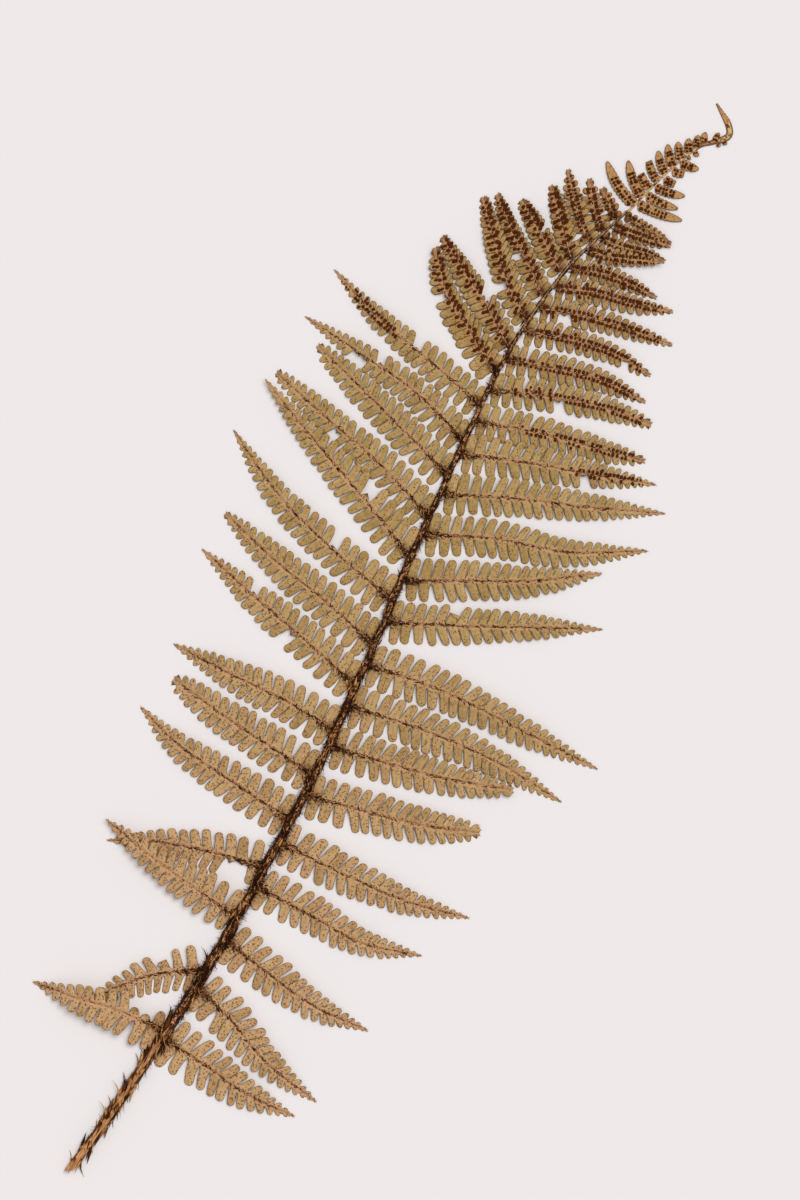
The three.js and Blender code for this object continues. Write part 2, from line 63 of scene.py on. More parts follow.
# The line of the stalk, its width and its height.
STALK_END = 421
STALK_LINE = (
    (0.2, -1.3), (2.1, 20), (2.9, 50), (3.65, 78), (2.55, 120), (-1.8, 180), (-7.3, 220), (-10.3, 240),
    (-14, 260), (-19.5, 300), (-24.3, 337), (-25.4, 358), (-23.5, 390), (-16.1, 420), (-13.8, 430),
)
STALK_WIDTH = (
    (-2, 3.3), (60, 3.1), (90, 2.8), (200, 2.4), (260, 2.1), (330, 1.5), (360, 1.4),
    (380, 1.25), (422, 0.95),
)
STALK_HEIGHT = ((-2, 2.9), (60, 3.1), (200, 2.8), (260, 2.4), (330, 2.0), (370, 1.7), (422, 1.3))

# The mesh of the stalk: points round it, rings along it, and how fast its cut end is worn and slanted.
STALK_SIDES = 20
STALK_RINGS = 280
WORN_LENGTH = 3
SLANT_LENGTH = 6

# How thickly scales cover the top of the stalk at y, how this fades to the frond's end, and
# how large they are there. Clumps grow this far to each side of a pinna's root.
TOP_COVER = ((0, 0.0), (22, 0.02), (30, 0.09), (56, 0.16), (66, 0.3), (120, 0.26), (330, 0.3))
COVER_FADES = ((0, 1), (230, 1), (280, 0.85), (345, 0.7), (362, 0.35), (390, 0.2), (421, 0.1))
SCALE_SIZE = ((0, 1.0), (60, 0.95), (120, 0.75), (330, 0.5), (421, 0.3))
CLUMP_REACH = 3

# Hairs are short, and hardly any grow below this y.
HAIR_SIZE = 0.75
HAIRS_FROM = 60
HAIRS_BELOW = 0.1

# Broad scales hug the stalk, a few slim ones curl away from it, and hairs fringe it: half
# width and curl of one unit long, share of the density, shortest and longest in mm, then
# how far they point sideways, backwards and up.
SCALE_KINDS = (
    ("scales", 0.14, -0.15, 0.36, 3.2, 7.0, 0.16, 0.7, 0.12),
    ("curls", 0.1, -0.85, 0.13, 3.0, 6.0, 0.25, 0.6, 0.2),
    ("hairs", 0.06, 0.65, 2.1, 1.5, 3.8, 1.0, 0.3, 0.4),
)

# Scales along the ribs: how thickly at y, to a mm of rib far out and close to the stalk.
RIB_SCALES = ((60, 1.0), (300, 0.75), (345, 0.5), (420, 0.3))
RIB_SCALES_FAR = 2.4
RIB_SCALES_CLOSE = (20, 6)

# How pinnae lie: from the stalk up to a level and down at the tip, tilted like roof tiles.
LOWEST = 0.31
SETTLE = 0.14
RIB_ROOT = 0.75
ROOT_HEIGHT = 0.38
LOWEST_ROOT = 0.55
BROKEN_END = 0.6
TILT = 1.0
DROOP = 0.35
LEVEL = 1.9
LEVEL_CHANGE = 0.15
LIFT_LENGTH = 7
COMES_DOWN = 0.65

# How far leaflets lean towards the pinna's tip, in degrees at parts of its length, on the
# side towards the frond's tip (1) and towards its base (-1).
LEAN = {
    "left": {1: ((0, 2), (0.2, 13), (0.5, 18), (1, 30)), -1: ((0, -15), (0.2, 15), (0.5, 13), (1, 9))},
    "right": {1: ((0, 3), (0.2, 19), (0.5, 23), (1, 28)), -1: ((0, -15), (0.2, 17), (0.5, 20), (1, 30))},
    "steep": {1: ((0, 15), (0.2, 42), (0.5, 44), (1, 34)), -1: ((0, -15), (0.2, 12), (0.5, 4), (1, 0))},
}

# How the half widths fall off along a pinna, towards the frond's tip and base: the higher,
# the longer they stay full.
SLIM = (1.9, 2.3)

# How far leaflets stay from the stalk at y: near the frond's end they lie over its flanks.
CLEARANCE = ((0, 0.1), (300, 0.1), (350, -0.2), (421, -0.2))

# Each pinna: y of its root, two points its rib goes through, its tip, and the half
# widths towards the frond's tip and base. kept is the part that isn't broken off, gaps
# are places of leaflets that are torn off, folded ones are doubled over, short gives the
# lengths of stunted ones, tiled ones overlap, fill is how much of their room leaflets take,
# and ripe is the part of the rib from which spore heaps grow.
LEFT = (
    dict(y=63.3, a=(-17, 60.4), b=(-33, 55.8), tip=(-49.5, 52), up=9.6, down=10.2, slim=(1.5, 1.75),
         level=5.2, short=(0.65, 0.35, 0.42)),
    dict(y=91.3, a=(-11.6, 79.6), b=(-19.6, 70), tip=(-28, 57.5), up=9.9, down=7.6, slim=(1.2, 3),
         level=1.2, fill=0.76, folded={1: (0.3,)}),
    dict(y=114.2, a=(-20, 115.4), b=(-40, 116.8), tip=(-59.2, 119.1), up=9.9, down=8, slim=(1.5, 2.3),
         level=4.4, end=2.3),
    dict(y=136, a=(-17, 130.7), b=(-37, 122.8), tip=(-54.6, 112.7), up=9.9, down=8, slim=(1.35, 2.3),
         level=1.1, gaps={-1: (0.12, 0.22)}),
    dict(y=156, a=(-25, 157), b=(-50, 157.6), tip=(-71, 162.2), up=9.3, down=8.5, slim=(1.65, 2.5)),
    dict(y=175.3, a=(-22, 176), b=(-45, 176.4), tip=(-66, 178), up=8.9, down=8.3, slim=(2.3, 3.2),
         kept=0.88),
    dict(y=193.8, a=(-24, 194), b=(-48, 191.2), tip=(-73, 189.2), up=9, down=8, slim=(2.1, 2.8)),
    dict(y=212.7, a=(-30, 217), b=(-56, 220.7), tip=(-83.3, 225.4), up=8.6, down=8.4, slim=(2.1, 2.5),
         gaps={-1: (0.42,), 1: (0.7,)}),
    dict(y=229.7, a=(-33, 233.8), b=(-58, 236.7), tip=(-83.2, 241.7), up=8.3, down=8.3, slim=(2.5, 2.6),
         kept=0.95),
    dict(y=247.7, a=(-41, 252), b=(-68.9, 258.1), tip=(-97.5, 270.1), up=8.5, down=8, slim=(1.6, 2.7),
         gaps={1: (0.34,)}),
    dict(y=265.2, a=(-41, 274.4), b=(-69, 283), tip=(-97.9, 292.9), up=9.6, down=8, slim=(1.6, 2.4),
         level=2.1, end=2.4, gaps={1: (0.33,)}),
    dict(y=281.8, a=(-42, 288.7), b=(-68, 292.6), tip=(-95.5, 297.3), up=7.5, down=7, slim=(2.4, 2.5),
         kept=0.9, level=1.8, end=LOWEST, gaps={-1: (0.6,)}),
    dict(y=299.2, a=(-42, 304.5), b=(-65, 309.5), tip=(-87.7, 314.6), up=7, down=7.4, slim=(2.7, 3.2),
         kept=0.9),
    dict(y=313.4, a=(-46, 319.3), b=(-72, 320.6), tip=(-97.9, 321.3), up=6.7, down=6.9, slim=(2.2, 2.3),
         gaps={1: (0.58,), -1: (0.67,)}),
    dict(y=328.5, a=(-48, 332.2), b=(-74, 335.7), tip=(-98.2, 342.3), up=6.6, down=6.7, slim=(2, 2.3),
         gaps={1: (0.43,)}, ripe=0.5),
    dict(y=342.3, a=(-40, 349.3), b=(-56.7, 357.5), tip=(-70, 370), up=5.2, down=7.5, slim=(2.1, 2.5),
         kept=0.88, end=2.2, lean="steep", tiled=True, gaps={-1: (0.66,)}, ripe=0),
    dict(y=352.3, a=(-40, 360.8), b=(-55, 367.8), tip=(-70, 375), up=5, down=6.3, slim=(1.9, 2.9), kept=0.88,
         lean="steep", tiled=True, gaps={1: (0.48,)}, ripe=0),
    dict(y=365.2, a=(-38, 372), b=(-52, 384), tip=(-65, 396), up=5.5, down=5.6, slim=(1.9, 2.5), kept=0.88,
         level=2.5, lean="steep", tiled=True, gaps={-1: (0.33,)}, ripe=0),
    dict(y=375.6, a=(-37, 384), b=(-49, 391), tip=(-61, 399.7), up=4.3, down=5.5, slim=(2, 2.5), kept=0.88,
         level=2.1, lean="steep", tiled=True, gaps={-1: (0.43,)}, ripe=0),
    dict(y=387.2, a=(-33, 392.3), b=(-43, 398.2), tip=(-52, 403), up=4.1, down=5.3, slim=(2.2, 3.2),
         kept=0.86, level=2.1, lean="steep", tiled=True, gaps={1: (0.6,)}, ripe=0),
    dict(y=393, a=(-30, 399.5), b=(-38, 407), tip=(-45.5, 413.3), up=4.4, down=4.4, slim=(2.4, 2.8),
         kept=0.88, level=2.1, lean="steep", tiled=True, ripe=0),
    dict(y=402.5, a=(-28, 407.3), b=(-36, 414.5), tip=(-43.3, 422), up=5, down=5.3, kept=0.93,
         level=1.95, ripe=0),
    dict(y=408.3, a=(-25, 413), b=(-30, 418), tip=(-34.5, 423.5), up=4.5, down=5, kept=0.87, level=1.55,
         ripe=0),
    dict(y=414.8, a=(-21.5, 418.1), b=(-25, 420.8), tip=(-28.5, 423), up=3.5, down=3.8, kept=0.86,
         level=1.5, ripe=0),
)
RIGHT = (
    dict(y=60.7, a=(22, 60.3), b=(42, 59.6), tip=(61.3, 61.9), up=9.8, down=10.9, slim=(1.55, 1.55)),
    dict(y=84, a=(22, 79.8), b=(42, 73.6), tip=(65.4, 71.1), up=9.2, down=8.9, slim=(1.75, 1.8)),
    dict(y=104.8, a=(25, 102.5), b=(46, 101.5), tip=(67.5, 104.4), up=9.2, down=8.5, slim=(1.75, 2)),
    dict(y=128, a=(26, 129.9), b=(48, 131.5), tip=(69.6, 139.4), up=9.2, down=8, slim=(1.7, 1.95)),
    dict(y=147, a=(28, 149.9), b=(53, 153.8), tip=(77.3, 161.3), up=9, down=8.2, slim=(1.65, 2.1)),
    dict(y=167.5, a=(22, 174.5), b=(43, 181.5), tip=(63.3, 190.8), up=8.6, down=8.8, slim=(2.6, 2.5),
         kept=0.9),
    dict(y=188.2, a=(21, 194.9), b=(43, 202), tip=(65.3, 211.5), up=8.6, down=8.6, slim=(1.9, 2.4), kept=0.9,
         end=2.4),
    dict(y=205, a=(25, 212.6), b=(54, 217.1), tip=(83.2, 217.5), up=9.1, down=8.4, slim=(1.6, 2.6)),
    dict(y=222, a=(24, 229.1), b=(56, 232.4), tip=(88.1, 235.4), up=9, down=8.5, slim=(1.8, 2.3)),
    dict(y=239.5, a=(13, 252.2), b=(36.9, 266.6), tip=(61.3, 281.2), up=8.1, down=8.3,
         slim=(2.1, 1.8), folded={1: (0.3,)}),
    dict(y=255.7, a=(8, 269.2), b=(29, 282.6), tip=(49.7, 299.1), up=8.6, down=8.1, slim=(1.9, 2.7),
         level=2.3, end=0.9),
    dict(y=275, a=(9, 288.8), b=(34.6, 299.1), tip=(59.8, 315.7), up=8.3, down=8.1, slim=(1.8, 2.5),
         level=1.8),
    dict(y=291.6, a=(7, 305.7), b=(32, 317.6), tip=(57.7, 331.2), up=8.4, down=7.5, slim=(2.1, 2.2)),
    dict(y=308.7, a=(3, 319.4), b=(26, 328.7), tip=(49, 338.7), up=8, down=7.5, slim=(2.3, 2.5),
         gaps={-1: (0.64,)}, ripe=0.5),
    dict(y=322, a=(-1, 330.7), b=(20, 337.5), tip=(40.6, 344), up=7.4, down=6.9, slim=(1.8, 2.6), kept=0.9,
         ripe=0.22),
    dict(y=335, a=(-5, 344.5), b=(15, 352.3), tip=(35.2, 357.1), up=6.8, down=6.5, slim=(2.1, 2.5), kept=0.9,
         gaps={-1: (0.46,)}, ripe=0.1),
    dict(y=348.3, a=(-8, 354.9), b=(10, 361.1), tip=(28.7, 363.2), up=6.3, down=6.3, slim=(2, 2.5),
         kept=0.96, ripe=0),
    dict(y=361, a=(-9, 367.6), b=(8, 372.2), tip=(24.9, 372.8), up=5.5, down=5.6, kept=0.92,
         slim=(1.7, 2.8), gaps={-1: (0.82,)}, ripe=0),
    dict(y=371.3, a=(-9, 378.1), b=(9, 383.2), tip=(25.7, 387), up=5.5, down=5.5, kept=0.95,
         slim=(1.7, 2.5), gaps={-1: (0.22,)}, ripe=0),
    dict(y=381, a=(-10, 387.8), b=(4.1, 392.1), tip=(19.1, 397.8), up=5, down=5.4, kept=0.95,
         slim=(1.8, 2.8), ripe=0),
    dict(y=390.2, a=(-12, 395.3), b=(-1, 397.8), tip=(11, 399), up=4.5, down=4.5, kept=0.92, ripe=0),
    dict(y=400, a=(-12.5, 402.4), b=(-4, 406.4), tip=(6, 411.5), up=4, down=3.7, kept=0.95,
         level=2.7, end=2.7, ripe=0),
    dict(y=407, a=(-11, 407.9), b=(-2, 410.9), tip=(6.3, 412.3), up=3.5, down=3.5, kept=0.85,
         level=1.3, end=LOWEST, ripe=0),
    dict(y=412.8, a=(-10.5, 414.2), b=(-3, 416.1), tip=(5, 418.3), up=3.4, down=3.4, kept=0.87, end=1.5,
         ripe=0),
    dict(y=418.8, a=(-9.5, 419), b=(-2.5, 419.5), tip=(4.7, 419.5), up=2.5, down=2, kept=0.9,
         ripe=0),
)

# The end of the frond: its line up to the hook, half widths there, and the small pinnae.
TIP_LINE = (
    (-15.6, 420.6), (-11.3, 440), (-6.5, 455), (-2.8, 460), (0.7, 464), (1.2, 466.7),
    (-1.5, 469.6), (-5.6, 471.8), (-9.1, 473.6),
)
TIP_HALF_WIDTH = (0.5, 0.46, 0.42, 0.42, 0.5, 0.8, 1.3, 1.25, 0.35)
TIP_HEIGHT = 1.1
SMALL_LEFT = (
    dict(root=(-15, 424), tip=(-32.8, 432.8), half=2.3, bow=1.3),
    dict(root=(-14, 428), tip=(-26.1, 437.4), half=2.1, bow=0.8),
    dict(root=(-13, 432.3), tip=(-19.2, 435.7), half=1.9, torn=True, bow=0.5),
    dict(root=(-11.9, 436.3), tip=(-19.3, 441.4), half=1.8, torn=True, bow=0.5),
    dict(root=(-11, 440.2), tip=(-18.4, 446.6), half=1.9, bow=0.4),
    dict(root=(-9.9, 444.2), tip=(-16.6, 450.6), half=1.9, bow=0.4),
    dict(root=(-8.8, 448), tip=(-13.8, 453.5), half=1.9),
    dict(root=(-7.5, 451.7), tip=(-11, 456.8), half=1.8),
    dict(root=(-6.3, 455), tip=(-8.6, 459.8), half=1.6),
    dict(root=(-4.8, 457.8), tip=(-6.9, 462.2), half=1.5),
    dict(root=(-2, 461), tip=(-2.2, 464.8), half=1.2),
)
SMALL_RIGHT = (
    dict(root=(-14, 425), tip=(3.9, 429), half=2.1, bow=0.5),
    dict(root=(-13.1, 429.7), tip=(0.2, 431.9), half=1.9, bow=0.5),
    dict(root=(-11.9, 434), tip=(-0.2, 437.4), half=1.9, bow=0.5),
    dict(root=(-10.8, 438.5), tip=(-5.9, 439.2), half=1.9, torn=True),
    dict(root=(-9.8, 442.8), tip=(-5, 444.2), half=1.8, torn=True),
    dict(root=(-8.7, 447), tip=(-1.3, 448.8), half=1.9),
    dict(root=(-7.6, 451), tip=(-6, 450.2), half=0.8),
    dict(root=(-6.7, 453.8), tip=(-4.1, 453), half=1.1),
    dict(root=(-0.9, 461), tip=(0.9, 460.6), half=0.9),
    dict(root=(0.4, 462.9), tip=(2.6, 462.6), half=0.9),
)

# Leaflets along the rib: the least room of the first ones, how it grows with the pinna's
# half width, how much more the lower side takes, and how much closer they get to the tip on
# pinnae with small and large leaflets. Then the share and closeness of overlapping pinnae.
LEAST_SPACING = 1.5
SPACING_BY_WIDTH = 0.36
LOWER_SPACING = 0.25
CLOSER = (0.2, 0.33)
CLOSER_BY_SPACING = (3.2, 4.6)
TILED_SPACING = 0.88
TILED_CLOSER = 0.4
UNEVEN_SPACING = (0.93, 1.07)
UNEVEN_LEAN = 4

# Half the rib's width at its root and tip, and how far it reaches into the stalk.
RIB_HALF = (0.32, 0.12)
RIB_SUNK = 1.3

# Leaflets: uneven length, how wide in their room, how much overlapping ones add to that on the
# upper and lower side and how far these tilt, how far from the rib folded ones are doubled
# over and how far back, what is left of torn ones, and the steps that clear the stalk.
UNEVEN_LENGTH = (0.95, 1.05)
FILL = 0.89
TILED_FILL = {1: 0.22, -1: 0.16}
TILED_TILT = 0.3
SHORTEST_LEAFLET = 0.35
FOLDED_FROM = 0.62
FOLDED_BACK = 1.75
TORN_LEFT = (0.15, 0.32)
CLEAR_STEP = 0.3
CLEAR_STEPS = 60
ROUNDNESS = 0.88

# Where a leaflet's mesh has points: across it, along its straight sides, and on its round end.
ACROSS = (-1.0, -0.6, 0.0, 0.6, 1.0)
STRAIGHT = (0.16, 0.4, 0.7, 1.0)
ROUND_END = (0.3, 0.56, 0.78, 0.93)
FAR_FROM_EDGE = 3.0

# Spore heaps: how far from the rib the first row is, how far apart rows are, how wide a
# leaflet is for two heaps side by side and how long for two rows, how far a heap is out
# from the middle, and how far it rises from it. Those of small pinnae come in bars.
FIRST_HEAP = 0.9
HEAP_ROWS = (1.3, 1.6)
WIDE_LEAFLET = 1.15
LONG_LEAFLET = 3.2
HEAP_ASIDE = 0.44
HEAP_BARS = 1.3
HEAP_RISE = 0.12

# Cross sections, as parts of the half width and height, and a heap's rings of radius and height.
RIB_SECTION = ((-1, 0.1), (-0.75, 0.7), (0, 1), (0.75, 0.7), (1, 0.1), (0, -0.4))
TIP_SECTION = ((-1, 0), (1, 0), (1, 0.35), (0.55, 0.8), (0, 1), (-0.55, 0.8), (-1, 0.35))
TIP_RINGS = 150
HEAP_RINGS = ((0.5, -0.12), (0.47, 0.12), (0.28, 0.3))
HEAP_TOP = 0.36
HEAP_SIDES = 8
LOBE_LENGTH = 1.75

# Height in mm above which scales lie pressed flat, and what is left of their height there.
PRESSED = 4.0
PRESSED_PART = 0.25
LOWEST_SCALE = 0.05

# Places of the floor, the light and the camera, in metres.
PAPER_WIDTH = 3.0
FLOOR_HEIGHT = -0.00005
LAMP_WAY = (-0.08, -0.45, -1.0)
LAMP_ANGLE = math.radians(40)
VIEW_CENTRE = (-0.0045, 0.0133)
VIEW_HEIGHT = 0.4568
VIEW_TURN = math.radians(32.4)
SENSOR = 36.0
LENS = 200.0


def in_metres(x, y, z):
    """A point of the plan as a point of the scene."""
    return ((x - PLAN_MIDDLE[0]) * MM, (y - PLAN_MIDDLE[1]) * MM, z * MM)


def lerp(low, high, part):
    """A value between two others."""
    return low + (high - low) * part


def smoothstep(x, low, high):
    """0 below low, 1 above high, and a smooth rise between them."""
    part = min(max((x - low) / (high - low), 0.0), 1.0)
    return part * part * (3 - 2 * part)


def between(table, place):
    """A value read between the rows of a table of place and value."""
    for (low, first), (high, second) in zip(table, table[1:]):
        if place <= high:
            return lerp(first, second, max(place - low, 0) / (high - low))
    return table[-1][1]


def srgb(red, green, blue):
    """A colour as scene values from its 0 to 255 screen values."""
    def scene_value(level):
        part = level / 255
        return part / 12.92 if part <= 0.04045 else ((part + 0.055) / 1.055) ** 2.4
    return tuple(scene_value(level) for level in (red, green, blue))


def stalk_x(y):
    """The x of the stalk's middle at y, on a smooth curve through its points."""
    last = len(STALK_LINE) - 1
    k = min(max(sum(point[1] <= y for point in STALK_LINE) - 1, 0), last - 1)

    def slope(i):
        before, after = STALK_LINE[max(i - 1, 0)], STALK_LINE[min(i + 1, last)]
        return (after[0] - before[0]) / (after[1] - before[1])

    (x0, y0), (x1, y1) = STALK_LINE[k], STALK_LINE[k + 1]
    span = y1 - y0
    t = (y - y0) / span
    rest = 1 - t
    return ((1 + 2 * t) * rest * rest * x0 + t * t * (3 - 2 * t) * x1
            + t * rest * rest * span * slope(k) - t * t * rest * span * slope(k + 1))


def stalk_half(y):
    """Half the stalk's width at y."""
    return between(STALK_WIDTH, y) / 2


def beside_stalk(x, y, side):
    """How far a point of the plan lies outside the stalk, on its own side of it."""
    slope = (stalk_x(y + 1) - stalk_x(y - 1)) / 2
    return side * (x - stalk_x(y)) / math.hypot(1, slope) - stalk_half(y)


def close_to(s):
    """1 where a pinna meets the stalk, less and less further out along its rib."""
    return math.exp(-max(s, 0) / 5)


def taper(t, slim=2.5):
    """Share of the root's half width that is left at a part of a pinna's full length."""
    return max(1 - t ** slim, 0) ** 0.85


class Path:
    """A smooth line through a few points of the plan, measured along itself."""

    STEPS = 50

    def __init__(self, corners):
        knots = [np.array(corner, float) for corner in corners]
        knots = [2 * knots[0] - knots[1], *knots, 2 * knots[-1] - knots[-2]]
        points = []
        for before, start, end, after in zip(knots, knots[1:], knots[2:], knots[3:]):
            leave, arrive = (end - before) / 2, (after - start) / 2
            for i in range(self.STEPS):
                t = i / self.STEPS
                bend = -3 * start + 3 * end - 2 * leave - arrive
                twist = 2 * start - 2 * end + leave + arrive
                points.append(start + leave * t + bend * t * t + twist * t ** 3)
        points.append(knots[-2])
        self.xs, self.ys = np.array(points).T
        steps = np.hypot(np.diff(self.xs), np.diff(self.ys))
        self.run = np.concatenate([[0], np.cumsum(steps)])
        self.length = float(self.run[-1])

    def spot(self, s):
        """The point at a distance along the line, which goes straight on past its ends."""
        inside = min(max(s, 0), self.length)
        point = np.array([np.interp(inside, self.run, self.xs), np.interp(inside, self.run, self.ys)])
        return point + self.heading(inside) * (s - inside) if s != inside else point

    def heading(self, s):
        """The direction of the line there."""
        low, high = min(max(s - 0.4, 0), self.length - 0.4), min(s + 0.4, self.length)
        step = np.array([np.interp(high, self.run, self.xs) - np.interp(low, self.run, self.xs),
                         np.interp(high, self.run, self.ys) - np.interp(low, self.run, self.ys)])
        return step / np.hypot(*step)


class Skin:
    """Points and faces of one mesh in the plan, with what the materials read at each point."""

    def __init__(self):
        self.points = []
        self.faces = []
        self.flat = []
        self.leaf = []
        self.state = []
        self.close = []

    def point(self, x, y, z, leaf=(0, 0, FAR_FROM_EDGE), state=(0, 0, 0), close=0.0):
        """Adds a point and gives its number."""
        self.points.append(in_metres(x, y, max(z, 0)))
        self.leaf.append(leaf)
        self.state.append(state)
        self.close.append(close)
        return len(self.points) - 1

    def face(self, corners, flat=False):
        """Adds a face, given counter-clockwise from outside."""
        self.faces.append(tuple(corners))
        self.flat.append(flat)

    def loft(self, rings, turned=False):
        """Joins rings of point numbers in order and closes both ends."""
        count = len(rings[0])
        order = -1 if turned else 1
        for low, high in zip(rings, rings[1:]):
            for k in range(count):
                n = (k + 1) % count
                self.face((low[k], low[n], high[n], high[k])[::order])
        self.face(tuple(rings[0][::-1])[::order])
        self.face(tuple(rings[-1])[::order])

    def to_object(self, name, material):
        """The mesh as an object in the scene."""
        mesh = mesh_of(name, self.points, self.faces)
        for label, values in (("leaf", self.leaf), ("state", self.state), ("close", self.close)):
            store(mesh, label, values)
        mesh.polygons.foreach_set("use_smooth", [not flat for flat in self.flat])
        mesh.materials.append(material)
        return add_piece(name, mesh)


class Sheet:
    """A thin blade: faces given once become its top and underside, with walls at its edge."""

    def __init__(self):
        self.points = []
        self.faces = []

    def point(self, place, thick, leaf, state, close=0.0):
        """Adds a point in the middle of the blade's thickness and gives its number."""
        self.points.append((place, thick, leaf, state, close))
        return len(self.points) - 1

    def face(self, corners, turned):
        """Adds a face, counter-clockwise from above unless turned."""
        self.faces.append(tuple(corners[::-1]) if turned else tuple(corners))

    def pour(self, skin):
        """Adds the closed blade to a mesh."""
        top, under = [], []
        for (x, y, z), thick, *values in self.points:
            z = max(z - SETTLE, thick / 2)
            top.append(skin.point(x, y, z + thick / 2, *values))
            under.append(skin.point(x, y, z - thick / 2, *values))
        edges = set()
        for corners in self.faces:
            skin.face([top[i] for i in corners])
            skin.face([under[i] for i in reversed(corners)])
            edges.update(zip(corners, corners[1:] + corners[:1]))
        for a, b in sorted(edges):
            if (b, a) not in edges:
                skin.face((top[a], under[a], under[b], top[b]), flat=True)


def mesh_of(name, points, faces=()):
    """A mesh of points in metres and faces."""
    mesh = bpy.data.meshes.new(name)
    mesh.from_pydata(points, [], faces)
    return mesh


def store(mesh, label, values):
    """Stores a number or a vector at each point of a mesh."""
    values = np.array(values, np.float32)
    number = values.ndim == 1
    attribute = mesh.attributes.new(label, "FLOAT" if number else "FLOAT_VECTOR", "POINT")
    attribute.data.foreach_set("value" if number else "vector", values.ravel())


def add_piece(name, mesh):
    """Puts a finished mesh in the scene."""
    piece = bpy.data.objects.new(name, mesh)
    bpy.context.scene.collection.objects.link(piece)
    return piece


def dress(piece, slot, *nodes):
    """Makes a finished piece part of the frond."""
    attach(piece, BODY)
    if nodes:
        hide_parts(*nodes)


class Pinna:
    """One pinna: its rib, its heights and its leaflets."""

    def __init__(self, word, order, row):
        self.name = f"{word}_{order + 1:02d}"
        self.word, self.side = word, -1 if word == "left" else 1
        self.row = row
        self.y = row["y"]
        self.tiled = row.get("tiled", False)
        self.kept = row.get("kept", 1)
        self.clearance = between(CLEARANCE, self.y)
        self.path = Path([(stalk_x(self.y), self.y), row["a"], row["b"], row["tip"]])
        self.start = self.clear_of_stalk()
        self.length = self.path.length - self.start
        self.reach = {1: row["up"], -1: row["down"]}
        self.level = row.get("level", LEVEL + LEVEL_CHANGE * math.sin(1.7 * order))
        self.end = row.get("end", BROKEN_END if self.kept < 1 else LOWEST)
        self.root_height = max(ROOT_HEIGHT * between(STALK_HEIGHT, self.y), LOWEST_ROOT)

    def clear_of_stalk(self):
        """Where both corners of the rib are clear of the stalk."""
        s = 0
        while True:
            x, y = self.path.spot(s)
            hx, hy = self.path.heading(s)
            corners = [(x - hy * v, y + hx * v) for v in (-RIB_ROOT, RIB_ROOT)]
            if all(beside_stalk(*corner, self.side) > self.clearance for corner in corners):
                return s
            s += 0.05

    def height(self, s, v):
        """Height of the middle of the blade, s along the rib and v beside it."""
        t = min(max(s / self.length, 0), 1)
        out = v / self.reach[1 if v > 0 else -1]
        lifted = lerp(self.level, self.root_height, math.exp(-max(s, 0) / LIFT_LENGTH))
        middle = lerp(lifted, self.end, smoothstep(t, COMES_DOWN, 1))
        return middle + TILT * out - DROOP * abs(out)

    def place(self, s, v, w=0.0):
        """A point beside the rib: v is towards the frond's tip and w is along the rib."""
        x, y = self.path.spot(self.start + s)
        hx, hy = self.path.heading(self.start + s)
        side = self.side
        return (x - side * hy * v + hx * w, y + side * hx * v + hy * w, self.height(s + w, v))

    def rib_half(self, s):
        """Half the width of the rib."""
        return lerp(*RIB_HALF, min(max(s / (self.length / self.kept), 0), 1))

    def leaflets(self, look, way):
        """The leaflets on one side, from the stalk outwards."""
        draw = random.Random(f"{self.name} {way}")
        row, full = self.row, self.length / self.kept
        first = LEAST_SPACING + SPACING_BY_WIDTH * self.reach[way] + (LOWER_SPACING if way < 0 else 0)
        first = min(look.spacing, first)
        closer = lerp(*CLOSER, smoothstep(first, *CLOSER_BY_SPACING))
        if self.tiled:
            first, closer = TILED_SPACING * first, TILED_CLOSER
        lean = LEAN[row.get("lean", self.word)][way]
        found, start, reached, number = [], 0.25 if way > 0 else 0.6, 0.0, 0
        while start < self.length - 0.5:
            t = start / full
            spacing = first * (1 - closer * t - 0.12 * t ** 4) * draw.uniform(*UNEVEN_SPACING)
            end = min(start + spacing, self.length + 0.3)
            if self.kept < 1 and self.length - end < 0.6 * spacing:
                end = self.length + 0.1
            leaflet = Leaflet(self, way, start, end, draw)
            leaflet.stunt(number, draw)
            leaflet.turn(between(lean, t), reached, draw)
            reached = leaflet.reached()
            low = start + leaflet.forward
            torn_off = any(low <= part * self.length < low + end - start
                           for part in row.get("gaps", {}).get(way, ()))
            if torn_off:
                leaflet.tear(draw)
            found.append(leaflet)
            start, number = end, number + 1
        return found

    def rib(self, skin):
        """Adds the raised rib, which starts inside the stalk."""
        rings = []
        stop = self.length - (0.4 if self.kept < 1 else 0)
        steps = max(8, round(stop / 1.6))
        for i in range(steps + 1):
            s = lerp(-RIB_SUNK, stop, i / steps)
            half = self.rib_half(s) * (0.5 if i == steps else 1)
            ring = []
            for across, up in RIB_SECTION:
                x, y, z = self.place(s, across * half)
                z = max(z - SETTLE, 0.1) + up * 0.75 * half + 0.08
                ring.append(skin.point(x, y, z, (abs(across), s, FAR_FROM_EDGE), (0, 0, -1), close_to(s)))
            rings.append(ring)
        skin.loft(rings, turned=self.side > 0)


